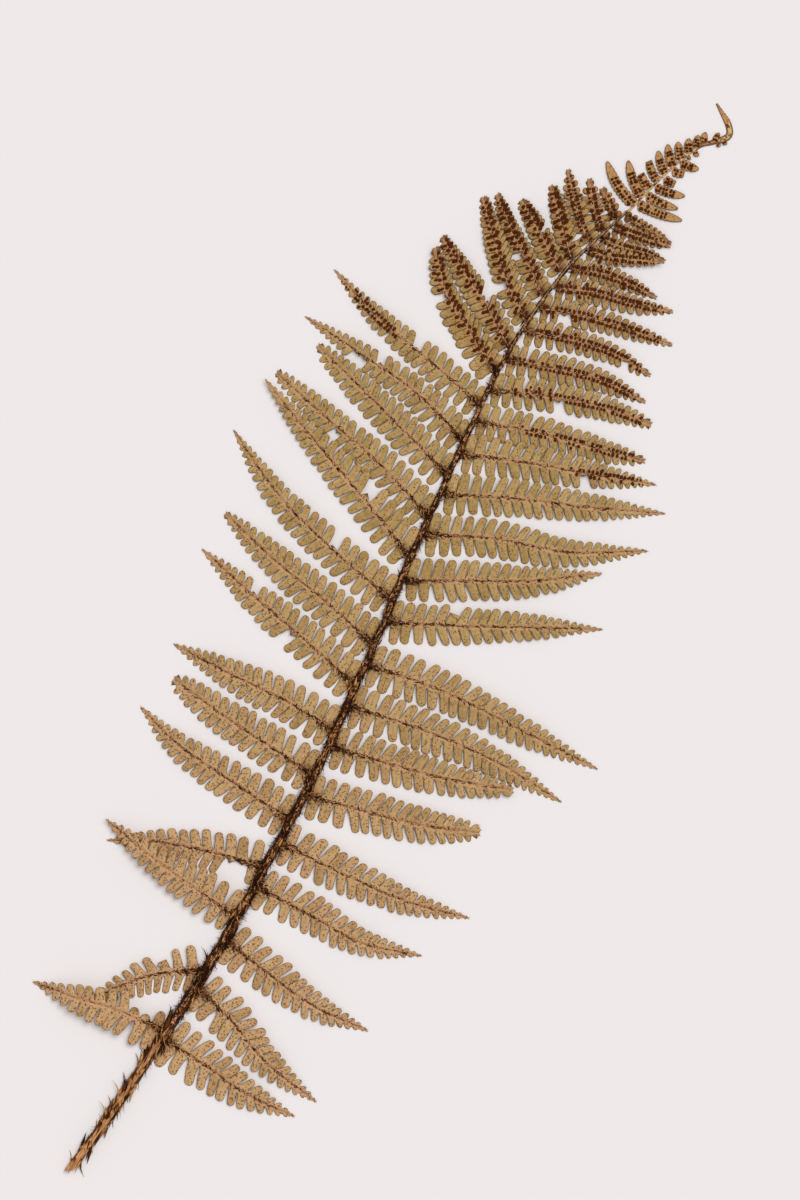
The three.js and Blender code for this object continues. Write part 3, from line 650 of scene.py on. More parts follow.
class Leaflet:
    """One leaflet, or the lobe it becomes towards a pinna's tip."""

    def __init__(self, pinna, way, start, end, draw):
        self.pinna, self.way = pinna, way
        self.start, self.end = start, end
        self.middle = (start + end) / 2
        self.part = self.middle * pinna.kept / pinna.length
        small = smoothstep(6.0 - pinna.reach[way], 0, 3.5)
        self.merge = min(0.1 + 0.5 * self.part ** 3 + 0.4 * small, 0.72)
        slim = pinna.row.get("slim", SLIM)[0 if way > 0 else 1]
        self.out = max(pinna.reach[way] * taper(self.part, slim) * draw.uniform(*UNEVEN_LENGTH),
                       SHORTEST_LEAFLET)
        self.tone = draw.uniform(-1, 1)
        self.tilt = draw.uniform(-0.16, 0.16)
        self.lift = draw.uniform(-0.2, 0.3)
        self.wave = draw.uniform(0, math.tau)
        self.fill = pinna.row.get("fill", FILL) + draw.uniform(-0.05, 0.05)
        if pinna.tiled:
            self.fill += TILED_FILL[way]
            self.tilt = -TILED_TILT * way
        self.bow = draw.uniform(-0.08, 0.22)
        self.narrows = 0.12 if pinna.tiled else lerp(0.24, 0.14, self.part)
        self.narrows += 0.5 * smoothstep(self.part, 0.7, 0.92)
        self.blunt = draw.uniform(0.8, 1.1) * lerp(1, 1.2, smoothstep(pinna.y, 290, 360))
        self.torn = 0.0
        self.folded = any(start <= part * pinna.length < end
                          for part in pinna.row.get("folded", {}).get(way, ()))
        ripe = pinna.row.get("ripe")
        place = self.middle / pinna.length
        grown = 0 if ripe is None else smoothstep(place, ripe - 0.01, ripe + 0.15)
        if pinna.kept > 0.91:
            grown *= 1 - smoothstep(place, 0.88, 0.94)
        self.ripe = grown * (1 if pinna.tiled else lerp(0.3, 1, smoothstep(pinna.y, 325, 365)))
        self.forward = 0.0

    def stunt(self, number, draw):
        """Shortens the leaflets that grew small or are broken off."""
        pinna = self.pinna
        short = pinna.row.get("short", ())
        if self.way > 0 and number < len(short):
            self.out *= short[number]
            self.torn = 0.4
        if pinna.kept < 1 and pinna.length - self.middle < 2.2:
            self.out *= draw.uniform(0.6, 1)
            self.torn = 1.0

    def tear(self, draw):
        """Leaves no more than a brown stub of the leaflet."""
        part = draw.uniform(*TORN_LEFT)
        self.out *= part
        self.forward *= part
        self.torn = 1.0
        self.shape()

    def turn(self, lean, reached, draw):
        """Leans the leaflet forward, past the one before it and clear of the stalk."""
        degrees = lean + draw.uniform(-UNEVEN_LEAN, UNEVEN_LEAN)
        self.forward = self.out * math.tan(math.radians(degrees))
        half = (self.end - self.start) / 2
        if self.torn < 1:
            self.forward = max(self.forward, reached + 0.05 + ROUNDNESS * half - self.middle)
        self.shape()
        for _ in range(CLEAR_STEPS):
            corners = [self.spot(a, b)[:2] for a in (0.55, 0.85, 1) for b in (-1, 0, 1)]
            if all(beside_stalk(*corner, self.pinna.side) > self.pinna.clearance for corner in corners):
                break
            self.forward += CLEAR_STEP
            self.shape()

    def shape(self):
        """Works out what follows from the leaflet's length and lean."""
        length = math.hypot(self.forward, self.out)
        self.square = (self.out / length, -self.way * self.forward / length)
        self.length = length
        self.root_half = (self.end - self.start) / 2
        self.half = self.root_half * self.square[0] * self.fill
        self.cap = min(self.blunt * self.half, 0.85 * length * (1 - self.merge))

    def reached(self):
        """How far along the rib the leaflet's tip reaches."""
        return self.middle + self.forward + ROUNDNESS * self.root_half

    def stations(self):
        """Parts of the leaflet's length where its blade has a row of points."""
        round_end = 1 - self.cap / self.length
        return [0.0, self.merge, *(lerp(self.merge, round_end, part) for part in STRAIGHT),
                *(lerp(round_end, 1, part) for part in ROUND_END)]

    def width(self, a):
        """Half width at a part of the leaflet's length: straight sides and a blunt round end."""
        free = max((a - self.merge) / (1 - self.merge), 0)
        body = self.root_half
        if free > 0:
            body = lerp(self.root_half, self.half, smoothstep(free, -0.1, 0.2)) * (1.05 - self.narrows * free)
        if self.torn == 1:
            return body * max(1 - free ** 1.3, 0.04)
        past = 1 - (1 - a) * self.length / self.cap
        return body * math.sqrt(max(1 - past ** 2.5, 0)) if past > 0 else body

    def crisp(self, a, b):
        """Slight waves of the leaflet's two edges."""
        return 1 + 0.045 * math.sin(self.wave + 2.3 * b + 2.1 * a * self.length) * smoothstep(a, 0.2, 0.4)

    def spot(self, a, b):
        """A point of the leaflet: a is 0 at the rib and 1 at the tip, b is -1 and 1 at its edges."""
        half = self.width(a) * self.crisp(a, b)
        turned = smoothstep(a, self.merge, self.merge + 0.2)
        w = self.forward * a + b * half * lerp(1, self.square[0], turned)
        w += self.bow * self.length * a * (a - 1)
        v = self.way * (0.12 + (self.out - 0.12) * a) + b * half * turned * self.square[1]
        if self.folded and a > FOLDED_FROM:
            v -= self.way * FOLDED_BACK * (a - FOLDED_FROM) * self.out
        x, y, z = self.pinna.place(self.middle, v, w)
        z += self.lift * a * a + self.tilt * b * a - 0.16 * abs(b) ** 3 * min(4 * a, 1)
        z += 0.07 * math.sin(self.wave + 5 * a) * a + (0.5 * smoothstep(a, 0.6, 0.8) if self.folded else 0)
        return x, y, z

    def put(self, sheet, a, b, look):
        """Adds one point of the leaflet to its blade."""
        half = self.width(a)
        side_edge = (1 - abs(b)) * half + 0.4 * max(self.merge - a, 0) * self.out
        edge = FAR_FROM_EDGE if a == 0 else min(side_edge, (1 - a) * self.length * 0.9)
        thick = look.thickness * (0.7 if edge < 0.05 else 1) + (0.07 if b == 0 and 0 < a < 0.9 else 0)
        leaf = (abs(b) * half, a * self.length, edge)
        state = (self.tone, self.ripe, self.torn * smoothstep(a, 0.2, 0.8))
        return sheet.point(self.spot(a, b), thick, leaf, state, close_to(self.middle))

    def blade(self, sheet, look, before):
        """Adds the leaflet, joined to the one before it, and gives the edge that the next joins."""
        turned = self.pinna.side * self.way < 0
        rows = []
        for j, a in enumerate(self.stations()):
            row = []
            for k, b in enumerate(ACROSS):
                shared = before is not None and j < 2 and k == 0
                row.append(before[j] if shared else self.put(sheet, a, b, look))
            rows.append(row)
        for low, high in zip(rows, rows[1:]):
            for k in range(len(ACROSS) - 1):
                sheet.face((low[k], low[k + 1], high[k + 1], high[k]), turned)
        tip = self.put(sheet, 1.0, 0.0, look)
        for k in range(len(ACROSS) - 1):
            sheet.face((rows[-1][k], rows[-1][k + 1], tip), turned)
        return rows[0][-1], rows[1][-1]

    def heaps(self, draw):
        """Where spore heaps sit beside the rib, with their sizes and the way they point."""
        if self.ripe < 0.05 or self.folded or self.torn:
            return
        a = min(FIRST_HEAP + draw.uniform(-0.1, 0.2), 0.42 * self.length) / self.length
        tiled = self.pinna.tiled
        more = 0.7 if tiled else 0.2
        second = self.length > LONG_LEAFLET and draw.random() < more * self.ripe
        for row in range(2 if second else 1):
            half = self.width(a)
            paired = half > WIDE_LEAFLET and not tiled and row == 0
            places = (-HEAP_ASIDE, HEAP_ASIDE) if paired else (draw.uniform(-0.35, 0.35),)
            for b in places:
                if draw.random() < lerp(0.6, 0.98, self.ripe):
                    across = b + draw.uniform(-0.12, 0.12)
                    x, y, z = self.spot(a, across)
                    ahead = self.spot(a + 0.1, across)
                    size = draw.uniform(0.85, 1.15) * min(0.84, 0.34 + 0.6 * half, 0.28 * self.length)
                    size *= 1.15 if tiled else 1
                    yield (x, y, z - SETTLE + HEAP_RISE), size, (ahead[0] - x, ahead[1] - y, 0)
            a += draw.uniform(*HEAP_ROWS) / self.length


def all_pinnae():
    """Every pinna of the frond."""
    return [Pinna(word, order, row) for word, rows in (("left", LEFT), ("right", RIGHT))
            for order, row in enumerate(rows)]


class SmallPinna:
    """One of the small pinnae of the frond's end: a blade cut into a few round lobes."""

    ROWS_PER_LOBE = 4

    def __init__(self, row, side):
        self.root, self.tip = np.array(row["root"], float), np.array(row["tip"], float)
        self.half = row["half"]
        self.torn = row.get("torn", False)
        self.swing = row.get("bow", 0.2) * side * -1
        line = self.tip - self.root
        self.length = float(np.hypot(*line))
        self.along = line / self.length
        self.lobes = max(1, round(self.length / LOBE_LENGTH))

    def width(self, t):
        """Half width, scalloped by the lobes."""
        outline = taper(min(t * (0.8 if self.torn else 0.98), 1), 5) * (1.07 - 0.2 * t)
        lobe = abs(math.sin(math.pi * t * self.lobes))
        depth = 0.2 * (1 - smoothstep(t, 0.5, 0.9))
        return self.half * outline * (1 - depth + depth * lobe ** 0.6)

    def spot(self, t, b):
        """A point of the blade: t along it and b across it."""
        half = self.width(t)
        v = b * half + self.swing * math.sin(math.pi * t)
        forward = 0.45 * abs(b) * half * (1 - t)
        x, y = self.root + self.along * (t * self.length + forward)
        x, y = x - self.along[1] * v, y + self.along[0] * v
        z = LOWEST + 0.25 * math.sin(math.pi * t) + 0.12 + 0.12 * b * b
        return x, y, z

    def blade(self, skin, look):
        """Adds the closed blade to a mesh."""
        sheet = Sheet()
        count = self.lobes * self.ROWS_PER_LOBE
        rows = []
        for j in range(count + 1):
            t = j / count
            row = []
            for b in ACROSS:
                edge = (1 - abs(b)) * self.width(t) if t < 1 else 0
                leaf = (abs(b) * self.width(t), t * self.length, edge)
                state = (0.3, 1.0, 0.8 * smoothstep(t, 0.75, 1) if self.torn else 0)
                row.append(sheet.point(self.spot(min(t, 0.985), b), look.thickness, leaf, state))
            rows.append(row)
        for low, high in zip(rows, rows[1:]):
            for k in range(len(ACROSS) - 1):
                sheet.face((low[k], high[k], high[k + 1], low[k + 1]), False)
        sheet.pour(skin)

    def heaps(self, draw):
        """Where spore heaps sit, in pairs that nearly meet across the midvein."""
        count = round((0.95 if self.torn else 0.66) * self.length / HEAP_BARS)
        for i in range(count):
            t = (0.8 + HEAP_BARS * i + draw.uniform(-0.2, 0.2)) / self.length
            for b in (-0.4, 0.4):
                if t < 0.93 and draw.random() < 0.93:
                    at = t + draw.uniform(-0.25, 0.25) / self.length
                    x, y, z = self.spot(at, b + draw.uniform(-0.08, 0.08))
                    size = draw.uniform(0.6, 0.92) * min(1, 0.35 + 0.36 * self.width(t))
                    yield (x, y, z - SETTLE + HEAP_RISE), size, (-self.along[1], self.along[0], 0)


def small_pinnae():
    """The small pinnae of the frond's end."""
    return [SmallPinna(row, side) for side, rows in ((-1, SMALL_LEFT), (1, SMALL_RIGHT)) for row in rows]


class NodeTree:
    """Short ways to add and join the nodes of a material or of geometry nodes."""

    def __init__(self, tree):
        self.tree = tree

    def put(self, socket, value):
        """Links a socket to another, or stores a plain value in it."""
        if isinstance(value, bpy.types.NodeSocket):
            self.tree.links.new(value, socket)
        elif value is not None:
            socket.default_value = value

    def add(self, kind, *values, **settings):
        """Adds a node with its first inputs in order."""
        node = self.tree.nodes.new(kind)
        for key, setting in settings.items():
            setattr(node, key, setting)
        for socket, value in zip(node.inputs, values):
            self.put(socket, value)
        return node

    def feed(self, node, **values):
        """Fills inputs of a node by their labels."""
        for label, value in values.items():
            self.put(node.inputs[label], value)
        return node

    def math(self, operation, first, second=None, third=None, clamp=False):
        """A number worked out from others."""
        node = self.add("ShaderNodeMath", first, second, third, operation=operation, use_clamp=clamp)
        return node.outputs[0]

    def times(self, first, second):
        """The product of two numbers."""
        return self.math("MULTIPLY", first, second)

    def rest(self, value):
        """What is left of 1."""
        return self.math("SUBTRACT", 1.0, value)

    def line(self, value, slope, start, clamp=False):
        """A straight line through a start value."""
        return self.math("MULTIPLY_ADD", value, slope, start, clamp)

    def step(self, value, low, high):
        """0 below low, 1 above high, and a smooth rise between them."""
        node = self.add("ShaderNodeMapRange", value, low, high, 0.0, 1.0, interpolation_type="SMOOTHSTEP")
        return node.outputs[0]


class Finish(NodeTree):
    """A material in the making."""

    def __init__(self, name):
        self.material = bpy.data.materials.new(name)
        self.material.use_nodes = True
        super().__init__(self.material.node_tree)
        self.shader = self.tree.nodes["Principled BSDF"]
        self.place = self.add("ShaderNodeTexCoord").outputs["Object"]

    def value(self, name):
        """The number stored under a name."""
        return self.add("ShaderNodeAttribute", attribute_name=name).outputs["Fac"]

    def values(self, name):
        """The three numbers stored at each point under a name."""
        vector = self.add("ShaderNodeAttribute", attribute_name=name).outputs["Vector"]
        return self.add("ShaderNodeSeparateXYZ", vector).outputs[:3]

    def noise(self, scale, detail=2.0, vector=None, rough=0.5):
        """A soft random value from 0 to 1."""
        node = self.feed(self.add("ShaderNodeTexNoise"), Vector=vector or self.place, Scale=scale,
                         Detail=detail, Roughness=rough)
        return node.outputs["Fac"]

    def stretched(self, along):
        """Places squeezed along the frond, so that what is drawn there comes out long."""
        return self.feed(self.add("ShaderNodeMapping", self.place), Scale=(1.0, along, 1.0)).outputs[0]

    def mix(self, part, low, high):
        """A colour between two others."""
        node = self.add("ShaderNodeMix", part, data_type="RGBA")
        for socket, value in ((node.inputs[6], low), (node.inputs[7], high)):
            self.put(socket, value if isinstance(value, bpy.types.NodeSocket) else (*value, 1.0))
        return node.outputs[2]

    def bump(self, height, distance, strength=1.0):
        """Fine relief on the surface."""
        node = self.feed(self.add("ShaderNodeBump"), Strength=strength, Distance=distance, Height=height)
        self.put(self.shader.inputs["Normal"], node.outputs["Normal"])

    def done(self, colour, rough, specular=0.3):
        """Sets the surface and gives the material."""
        surface = {"Base Color": colour, "Roughness": rough, "Specular IOR Level": specular}
        self.feed(self.shader, **surface)
        return self.material


def leaf_finish(look):
    """The dried underside of the blades: tan and olive, veined and speckled, with dark margins that are
    partly painted shade.
    """
    kept = bpy.data.materials.get("dried_leaf")
    if kept:
        return kept
    paint = Finish("dried_leaf")
    across, along, edge = paint.values("leaf")
    tone, ripe, torn = paint.values("state")
    place = paint.add("ShaderNodeSeparateXYZ", paint.place).outputs
    close = paint.value("close")
    old = paint.rest(paint.step(place["Y"], -0.14, 0.06))
    broad = paint.line(paint.noise(45, 3), 0.7, -0.35)
    colour = paint.mix(paint.math("ADD", old, broad, clamp=True), look.olive, look.tan)
    colour = paint.mix(paint.step(place["Y"], 0.17, 0.195), colour, look.young)
    cloud = paint.step(paint.noise(420, 4), 0.35, 0.7)
    colour = paint.mix(paint.times(cloud, 0.5), colour, look.shade)
    by_leaflet = paint.line(tone, 0.4, 0.02, clamp=True)
    colour = paint.mix(by_leaflet, colour, look.pale)
    by_leaflet = paint.line(tone, -0.4, -0.02, clamp=True)
    colour = paint.mix(by_leaflet, colour, look.shade)
    grain = paint.step(paint.noise(1700, 4, None, 0.65), 0.4, 0.66)
    colour = paint.mix(paint.times(grain, 0.5), colour, look.vein)
    blush = paint.step(paint.noise(640, 3), 0.46, 0.68)
    colour = paint.mix(paint.times(blush, 0.4), colour, look.rib)
    # Leaflets are pinkish beside the rib, and browner where spore heaps grow.
    beside_rib = paint.rest(paint.step(along, 0.1, 1.7))
    colour = paint.mix(paint.times(beside_rib, 0.55), colour, look.rib)
    inner = paint.rest(paint.step(along, 2.0, 3.4))
    colour = paint.mix(paint.times(paint.times(inner, ripe), 0.42), colour, look.fertile)
    # Side veins run forward from the midvein to the margin.
    wobble = paint.line(paint.noise(700, 2), 0.5, 0.0)
    slanted = paint.line(across, -0.9, along)
    wave = paint.math("PINGPONG", paint.math("ADD", slanted, wobble), 0.42)
    vein = paint.rest(paint.step(wave, 0.02, 0.14))
    midvein = paint.rest(paint.step(across, 0.05, 0.18))
    lines = paint.math("MAXIMUM", paint.times(vein, 0.35), midvein)
    colour = paint.mix(paint.times(lines, 0.35), colour, look.vein)
    # Small reddish brown specks, most of them on the oldest pinnae.
    cells = paint.feed(paint.add("ShaderNodeTexVoronoi", paint.place, voronoi_dimensions="2D"), Scale=700)
    size = paint.line(old, 0.05, 0.23)
    near = paint.rest(paint.step(cells.outputs["Distance"], 0.12, size))
    dotted = paint.line(old, -0.1, 0.43)
    some = paint.step(paint.noise(310, 1), dotted, paint.math("ADD", dotted, 0.08))
    colour = paint.mix(paint.times(paint.times(near, some), 0.9), colour, look.speck)
    # Margins are thin and dark, partly their own colour and partly painted shade; broken ends brown.
    # On fertile leaflets the margin is wider and darker: a painted shadow between overlapping leaflets.
    margin_width_and_overlap_shadow = paint.line(ripe, 0.18, 0.28)
    margin = paint.rest(paint.step(edge, 0.05, margin_width_and_overlap_shadow))
    edge_colour_and_overlap_shadow = paint.mix(ripe, look.margin, look.broken)
    colour = paint.mix(paint.times(margin, 0.85), colour, edge_colour_and_overlap_shadow)
    ragged = paint.times(paint.math("MAXIMUM", torn, 0.0), 0.85)
    colour = paint.mix(ragged, colour, look.broken)
    # Ribs are a pinkish tan with brown flecks and edges.
    rib = paint.math("LESS_THAN", torn, -0.5)
    fleck = paint.step(paint.noise(900, 3), 0.48, 0.62)
    fleck = paint.math("MAXIMUM", fleck, paint.times(paint.step(across, 0.45, 0.9), 0.85))
    rib_colour = paint.mix(paint.step(place["Y"], 0.15, 0.18), look.rib, look.pale)
    rib_colour = paint.mix(fleck, rib_colour, look.speck)
    colour = paint.mix(rib, colour, rib_colour)
    # Where a pinna meets the stalk, dried scales stain it dark.
    stain = paint.step(paint.line(paint.noise(1100, 4, None, 0.7), 1.6, close), 1.2, 1.5)
    stain = paint.times(stain, paint.rest(paint.step(along, 0.8, 4)))
    colour = paint.mix(paint.times(stain, 0.8), colour, look.broken)
    relief = paint.line(lines, 0.5, paint.times(cloud, 0.4))
    paint.bump(relief, 0.0001, 0.8)
    return paint.done(colour, 0.85, 0.08)


def stalk_finish(look):
    """The stalk's rind: tan where it is bare, dark brown under the scales, with fine fibres."""
    paint = Finish("stalk_rind")
    cover, pale, across = paint.values("state")
    fibre = paint.noise(3200, 3, paint.stretched(0.06))
    colour = paint.mix(paint.step(fibre, 0.35, 0.68), look.bare, look.fibre)
    # Dried scales stick to the rind in a dark mat, with golden places left bare.
    longer = paint.stretched(0.5)
    bare = paint.step(paint.noise(1300, 4, longer, 0.7), 0.51, 0.56)
    flank = paint.step(across, 0.5, 0.85)
    shown = paint.times(bare, paint.rest(flank))
    dark = paint.times(cover, paint.rest(paint.times(shown, 0.9)))
    mat = paint.mix(paint.step(paint.noise(1600, 3, longer), 0.5, 0.7), look.dark, look.brown)
    colour = paint.mix(dark, colour, mat)
    pale = paint.times(pale, paint.line(bare, 0.35, 0.6))
    colour = paint.mix(pale, colour, look.straw)
    paint.bump(fibre, 0.00015, 0.7)
    return paint.done(colour, 0.8, 0.05)


def scale_finish(look):
    """Papery brown scales, each its own tone, with painted golden highlights towards the tip, and paler at
    the stalk's base.
    """
    kept = bpy.data.materials.get("brown_scale")
    if kept:
        return kept
    paint = Finish("brown_scale")
    tone = paint.value("tone")
    out = paint.value("outward")
    height = paint.add("ShaderNodeSeparateXYZ", paint.place).outputs["Y"]
    low = paint.rest(paint.step(height, -0.19, -0.165))
    tone = paint.line(low, 0.32, tone)
    colour = paint.mix(paint.step(tone, 0.3, 0.85), look.dark, look.brown)
    # Golden tips are painted highlights, where the light catches the scales' tips.
    golden = paint.times(paint.step(tone, 0.7, 0.9), paint.step(out, 0.1, 0.4))
    colour = paint.mix(golden, colour, look.golden)
    paint.bump(paint.noise(1500, 2), 0.00005, 0.5)
    return paint.done(colour, 0.65, 0.08)


def heap_finish(look):
    """Spore heaps: dark reddish brown and granular."""
    paint = Finish("spore_heap")
    grain = paint.noise(5200, 2)
    tone = paint.value("tone")
    colour = paint.mix(paint.step(grain, 0.4, 0.65), look.dark, look.brown)
    paler = paint.times(paint.step(tone, 0.5, 1.0), 0.35)
    colour = paint.mix(paler, colour, look.brown)
    paint.bump(grain, 0.0001, 0.8)
    return paint.done(colour, 0.9, 0.05)


class GrowthTree(NodeTree):
    """Geometry nodes that set one small shape many times on a seat and keep plain mesh."""

    def __init__(self, name):
        super().__init__(bpy.data.node_groups.new(name, "GeometryNodeTree"))
        sockets = [("Seat", "Geometry"), ("Shape", "Object"), ("Finish", "Material")]
        sockets += [(label, "Float") for label in ("Density", "Shortest", "Longest", "Sideways", "Forward",
                                                   "Back", "Lift", "Narrow")]
        for label, kind in (*sockets, ("Seed", "Int")):
            self.tree.interface.new_socket(label, in_out="INPUT", socket_type=f"NodeSocket{kind}")
        self.tree.interface.new_socket("Grown", in_out="OUTPUT", socket_type="NodeSocketGeometry")
        self.given = self.tree.nodes.new("NodeGroupInput").outputs
        self.result = self.tree.nodes.new("NodeGroupOutput")

    def named(self, name, kind="FLOAT"):
        """A value stored on the seat."""
        node = self.add("GeometryNodeInputNamedAttribute", name, data_type=kind)
        return node.outputs[0]

    def draw(self, low, high, seed):
        """A random number for each copy."""
        node = self.add("FunctionNodeRandomValue", data_type="FLOAT")
        self.put(node.inputs[2], low)
        self.put(node.inputs[3], high)
        self.put(node.inputs[8], self.math("ADD", self.given["Seed"], float(seed)))
        return node.outputs[1]

    def vector(self, x, y, z):
        """A vector from three numbers."""
        return self.add("ShaderNodeCombineXYZ", x, y, z).outputs[0]

    def aim(self, across, forward, normal, back):
        """A turn whose length axis sweeps along, beside and off the seat, and whose back faces a way."""
        sideways = self.draw(self.times(self.given["Sideways"], -1.0), self.given["Sideways"], 1)
        along = self.draw(self.given["Back"], self.given["Forward"], 2)
        lift = self.draw(0.0, self.given["Lift"], 3)
        way = None
        for amount, line in ((sideways, across), (along, forward), (lift, normal)):
            part = self.feed(self.add("ShaderNodeVectorMath", line, operation="SCALE"), Scale=amount)
            if way is None:
                way = part.outputs[0]
            else:
                way = self.add("ShaderNodeVectorMath", way, part.outputs[0], operation="ADD").outputs[0]
        first = self.feed(self.add("FunctionNodeAlignRotationToVector", axis="Y"), Vector=way)
        second = self.add("FunctionNodeAlignRotationToVector", axis="Z", pivot_axis="Y")
        return self.feed(second, Rotation=first.outputs[0], Vector=back).outputs[0]

    def set_shapes(self, points, turn, size):
        """Sets the shape on the points, stores a random tone, and makes plain mesh of it."""
        shape = self.add("GeometryNodeObjectInfo", self.given["Shape"])
        length = self.draw(self.given["Shortest"], self.given["Longest"], 4)
        length = self.times(length, size)
        width = self.times(length, self.draw(self.given["Narrow"], 1.0, 5))
        copies = self.feed(self.add("GeometryNodeInstanceOnPoints"), Points=points,
                           Instance=shape.outputs["Geometry"], Rotation=turn,
                           Scale=self.vector(width, length, length))
        toned = self.add("GeometryNodeStoreNamedAttribute", data_type="FLOAT", domain="INSTANCE")
        self.feed(toned, Geometry=copies.outputs[0], Name="tone", Value=self.draw(0.0, 1.0, 6))
        plain = self.add("GeometryNodeRealizeInstances", toned.outputs[0])
        made = self.feed(self.add("GeometryNodeSetMaterial", plain.outputs[0]), Material=self.given["Finish"])
        self.put(self.result.inputs[0], made.outputs[0])
        return self.tree


def scatter_tree():
    """Scales scattered over a surface, as thick as the seat's cover value says."""
    grow = GrowthTree("scales_on_a_surface")
    density = grow.times(grow.given["Density"], grow.named("cover"))
    scatter = grow.feed(grow.add("GeometryNodeDistributePointsOnFaces"), Mesh=grow.given["Seat"],
                        Density=density, Seed=grow.given["Seed"])
    normal = scatter.outputs["Normal"]
    back = grow.add("ShaderNodeVectorMath", normal, grow.vector(0.0, 0.0, 1.0), operation="ADD").outputs[0]
    turn = grow.aim(grow.vector(1.0, 0.0, 0.0), grow.vector(0.0, 1.0, 0.0), normal, back)
    return grow.set_shapes(scatter.outputs["Points"], turn, grow.named("size"))


def seat_tree():
    """Shapes set on given points, each with its own size and heading."""
    grow = GrowthTree("shapes_on_points")
    heading = grow.named("heading", "FLOAT_VECTOR")
    up = grow.vector(0.0, 0.0, 1.0)
    across = grow.add("ShaderNodeVectorMath", up, heading, operation="CROSS_PRODUCT").outputs[0]
    turn = grow.aim(across, heading, up, up)
    return grow.set_shapes(grow.given["Seat"], turn, grow.named("size"))


def lance(name, half, bend, thick, curl=0.0, rows=((0.0, 0.55), (0.25, 1.0), (0.5, 0.75), (0.75, 0.4))):
    """A narrow pointed scale one unit long, growing along +Y and bending and curling as it goes."""
    points, faces = [], []
    for t, width in rows:
        drop, aside = bend * t * t, curl * t * t
        points += [(aside - half * width, t, drop), (aside + half * width, t, drop),
                   (aside, t, drop + thick)]
    points.append((1.05 * curl, 1.0, bend))
    for j in range(len(rows) - 1):
        low, high = 3 * j, 3 * j + 3
        for k in range(3):
            n = (k + 1) % 3
            faces.append((low + k, low + n, high + n, high + k))
    last, tip = 3 * (len(rows) - 1), 3 * len(rows)
    faces += [(last + k, last + (k + 1) % 3, tip) for k in range(3)]
    faces.append((2, 1, 0))
    mesh = mesh_of(name, points, faces)
    store(mesh, "outward", [point[1] for point in points])
    return add_piece(name, mesh)


def dome(name):
    """A low oval heap one unit long."""
    sides = HEAP_SIDES
    points, faces = [], []
    for radius, height in HEAP_RINGS:
        for k in range(sides):
            angle = math.tau * k / sides
            points.append((0.85 * radius * math.cos(angle), radius * math.sin(angle), height))
    points += [(0, 0, HEAP_TOP), (0, 0, HEAP_RINGS[0][1])]
    for k in range(sides):
        n = (k + 1) % sides
        faces += [(low + k, low + n, low + sides + n, low + sides + k) for low in (0, sides)]
        faces += [(2 * sides + k, 2 * sides + n, 3 * sides), (n, k, 3 * sides + 1)]
    return add_piece(name, mesh_of(name, points, faces))


def grown(name, seat, tree, shape, finish, **sizes):
    """Runs a tree over a seat mesh, and keeps the result as one plain mesh."""
    holder = add_piece(name, seat)
    modifier = holder.modifiers.new(name, "NODES")
    modifier.node_group = tree
    given = {"Shape": shape, "Finish": finish, **sizes}
    for item in tree.interface.items_tree:
        if item.in_out == "INPUT" and item.name in given:
            modifier[item.identifier] = given[item.name]
    graph = bpy.context.evaluated_depsgraph_get()
    mesh = bpy.data.meshes.new_from_object(holder.evaluated_get(graph))
    holder.modifiers.clear()
    holder.data = mesh
    mesh.name = name
    flat = np.empty(len(mesh.vertices) * 3, np.float32)
    mesh.vertices.foreach_get("co", flat)
    height = np.maximum(flat[2::3] / MM, LOWEST_SCALE)
    flat[2::3] = np.where(height > PRESSED, PRESSED + (height - PRESSED) * PRESSED_PART, height) * MM
    mesh.vertices.foreach_set("co", flat)
    mesh.polygons.foreach_set("use_smooth", [True] * len(mesh.polygons))
    bpy.data.objects.remove(shape)
    return holder


def seat_mesh(name, spots):
    """A mesh of single points, each with a size and a heading."""
    places, sizes, ways = zip(*spots)
    mesh = mesh_of(name, places)
    store(mesh, "size", sizes)
    store(mesh, "heading", ways)
    return mesh


def tint(name, description, *levels):
    """A colour setting, from the 0 to 255 screen values of its red, green and blue."""
    return FloatVectorProperty(name=name, description=description, subtype="COLOR", default=srgb(*levels))


class LeafLook(bpy.types.PropertyGroup):
    """Sizes and colours of the leaflets."""

    spacing: FloatProperty(name="Leaflet spacing", description="Rib taken by the first leaflets, in mm",
                           default=5.2)
    thickness: FloatProperty(name="Blade thickness", description="Thickness of a dried blade, in mm",
                             default=0.28)
    tan: tint("Tan", "Main colour of the older blades", 220, 178, 132)
    olive: tint("Olive", "Main colour of the younger blades", 190, 162, 100)
    shade: tint("Shade", "Clouded places", 154, 124, 70)
    young: tint("Young", "Blades of the frond's end", 200, 152, 94)
    pale: tint("Pale", "Paler leaflets", 214, 182, 128)
    vein: tint("Vein", "Veins", 146, 104, 62)
    speck: tint("Speck", "Small brown specks", 112, 62, 34)
    # The margin and broken colours also paint shade at leaflets' edges and between overlapping ones.
    margin: tint("Margin", "Thin edge of a leaflet", 104, 78, 46)
    broken: tint("Broken", "Ends that are broken off", 96, 54, 28)
    fertile: tint("Fertile", "Blade round the spore heaps", 182, 124, 78)
    rib: tint("Rib", "Ribs of the pinnae", 212, 162, 124)


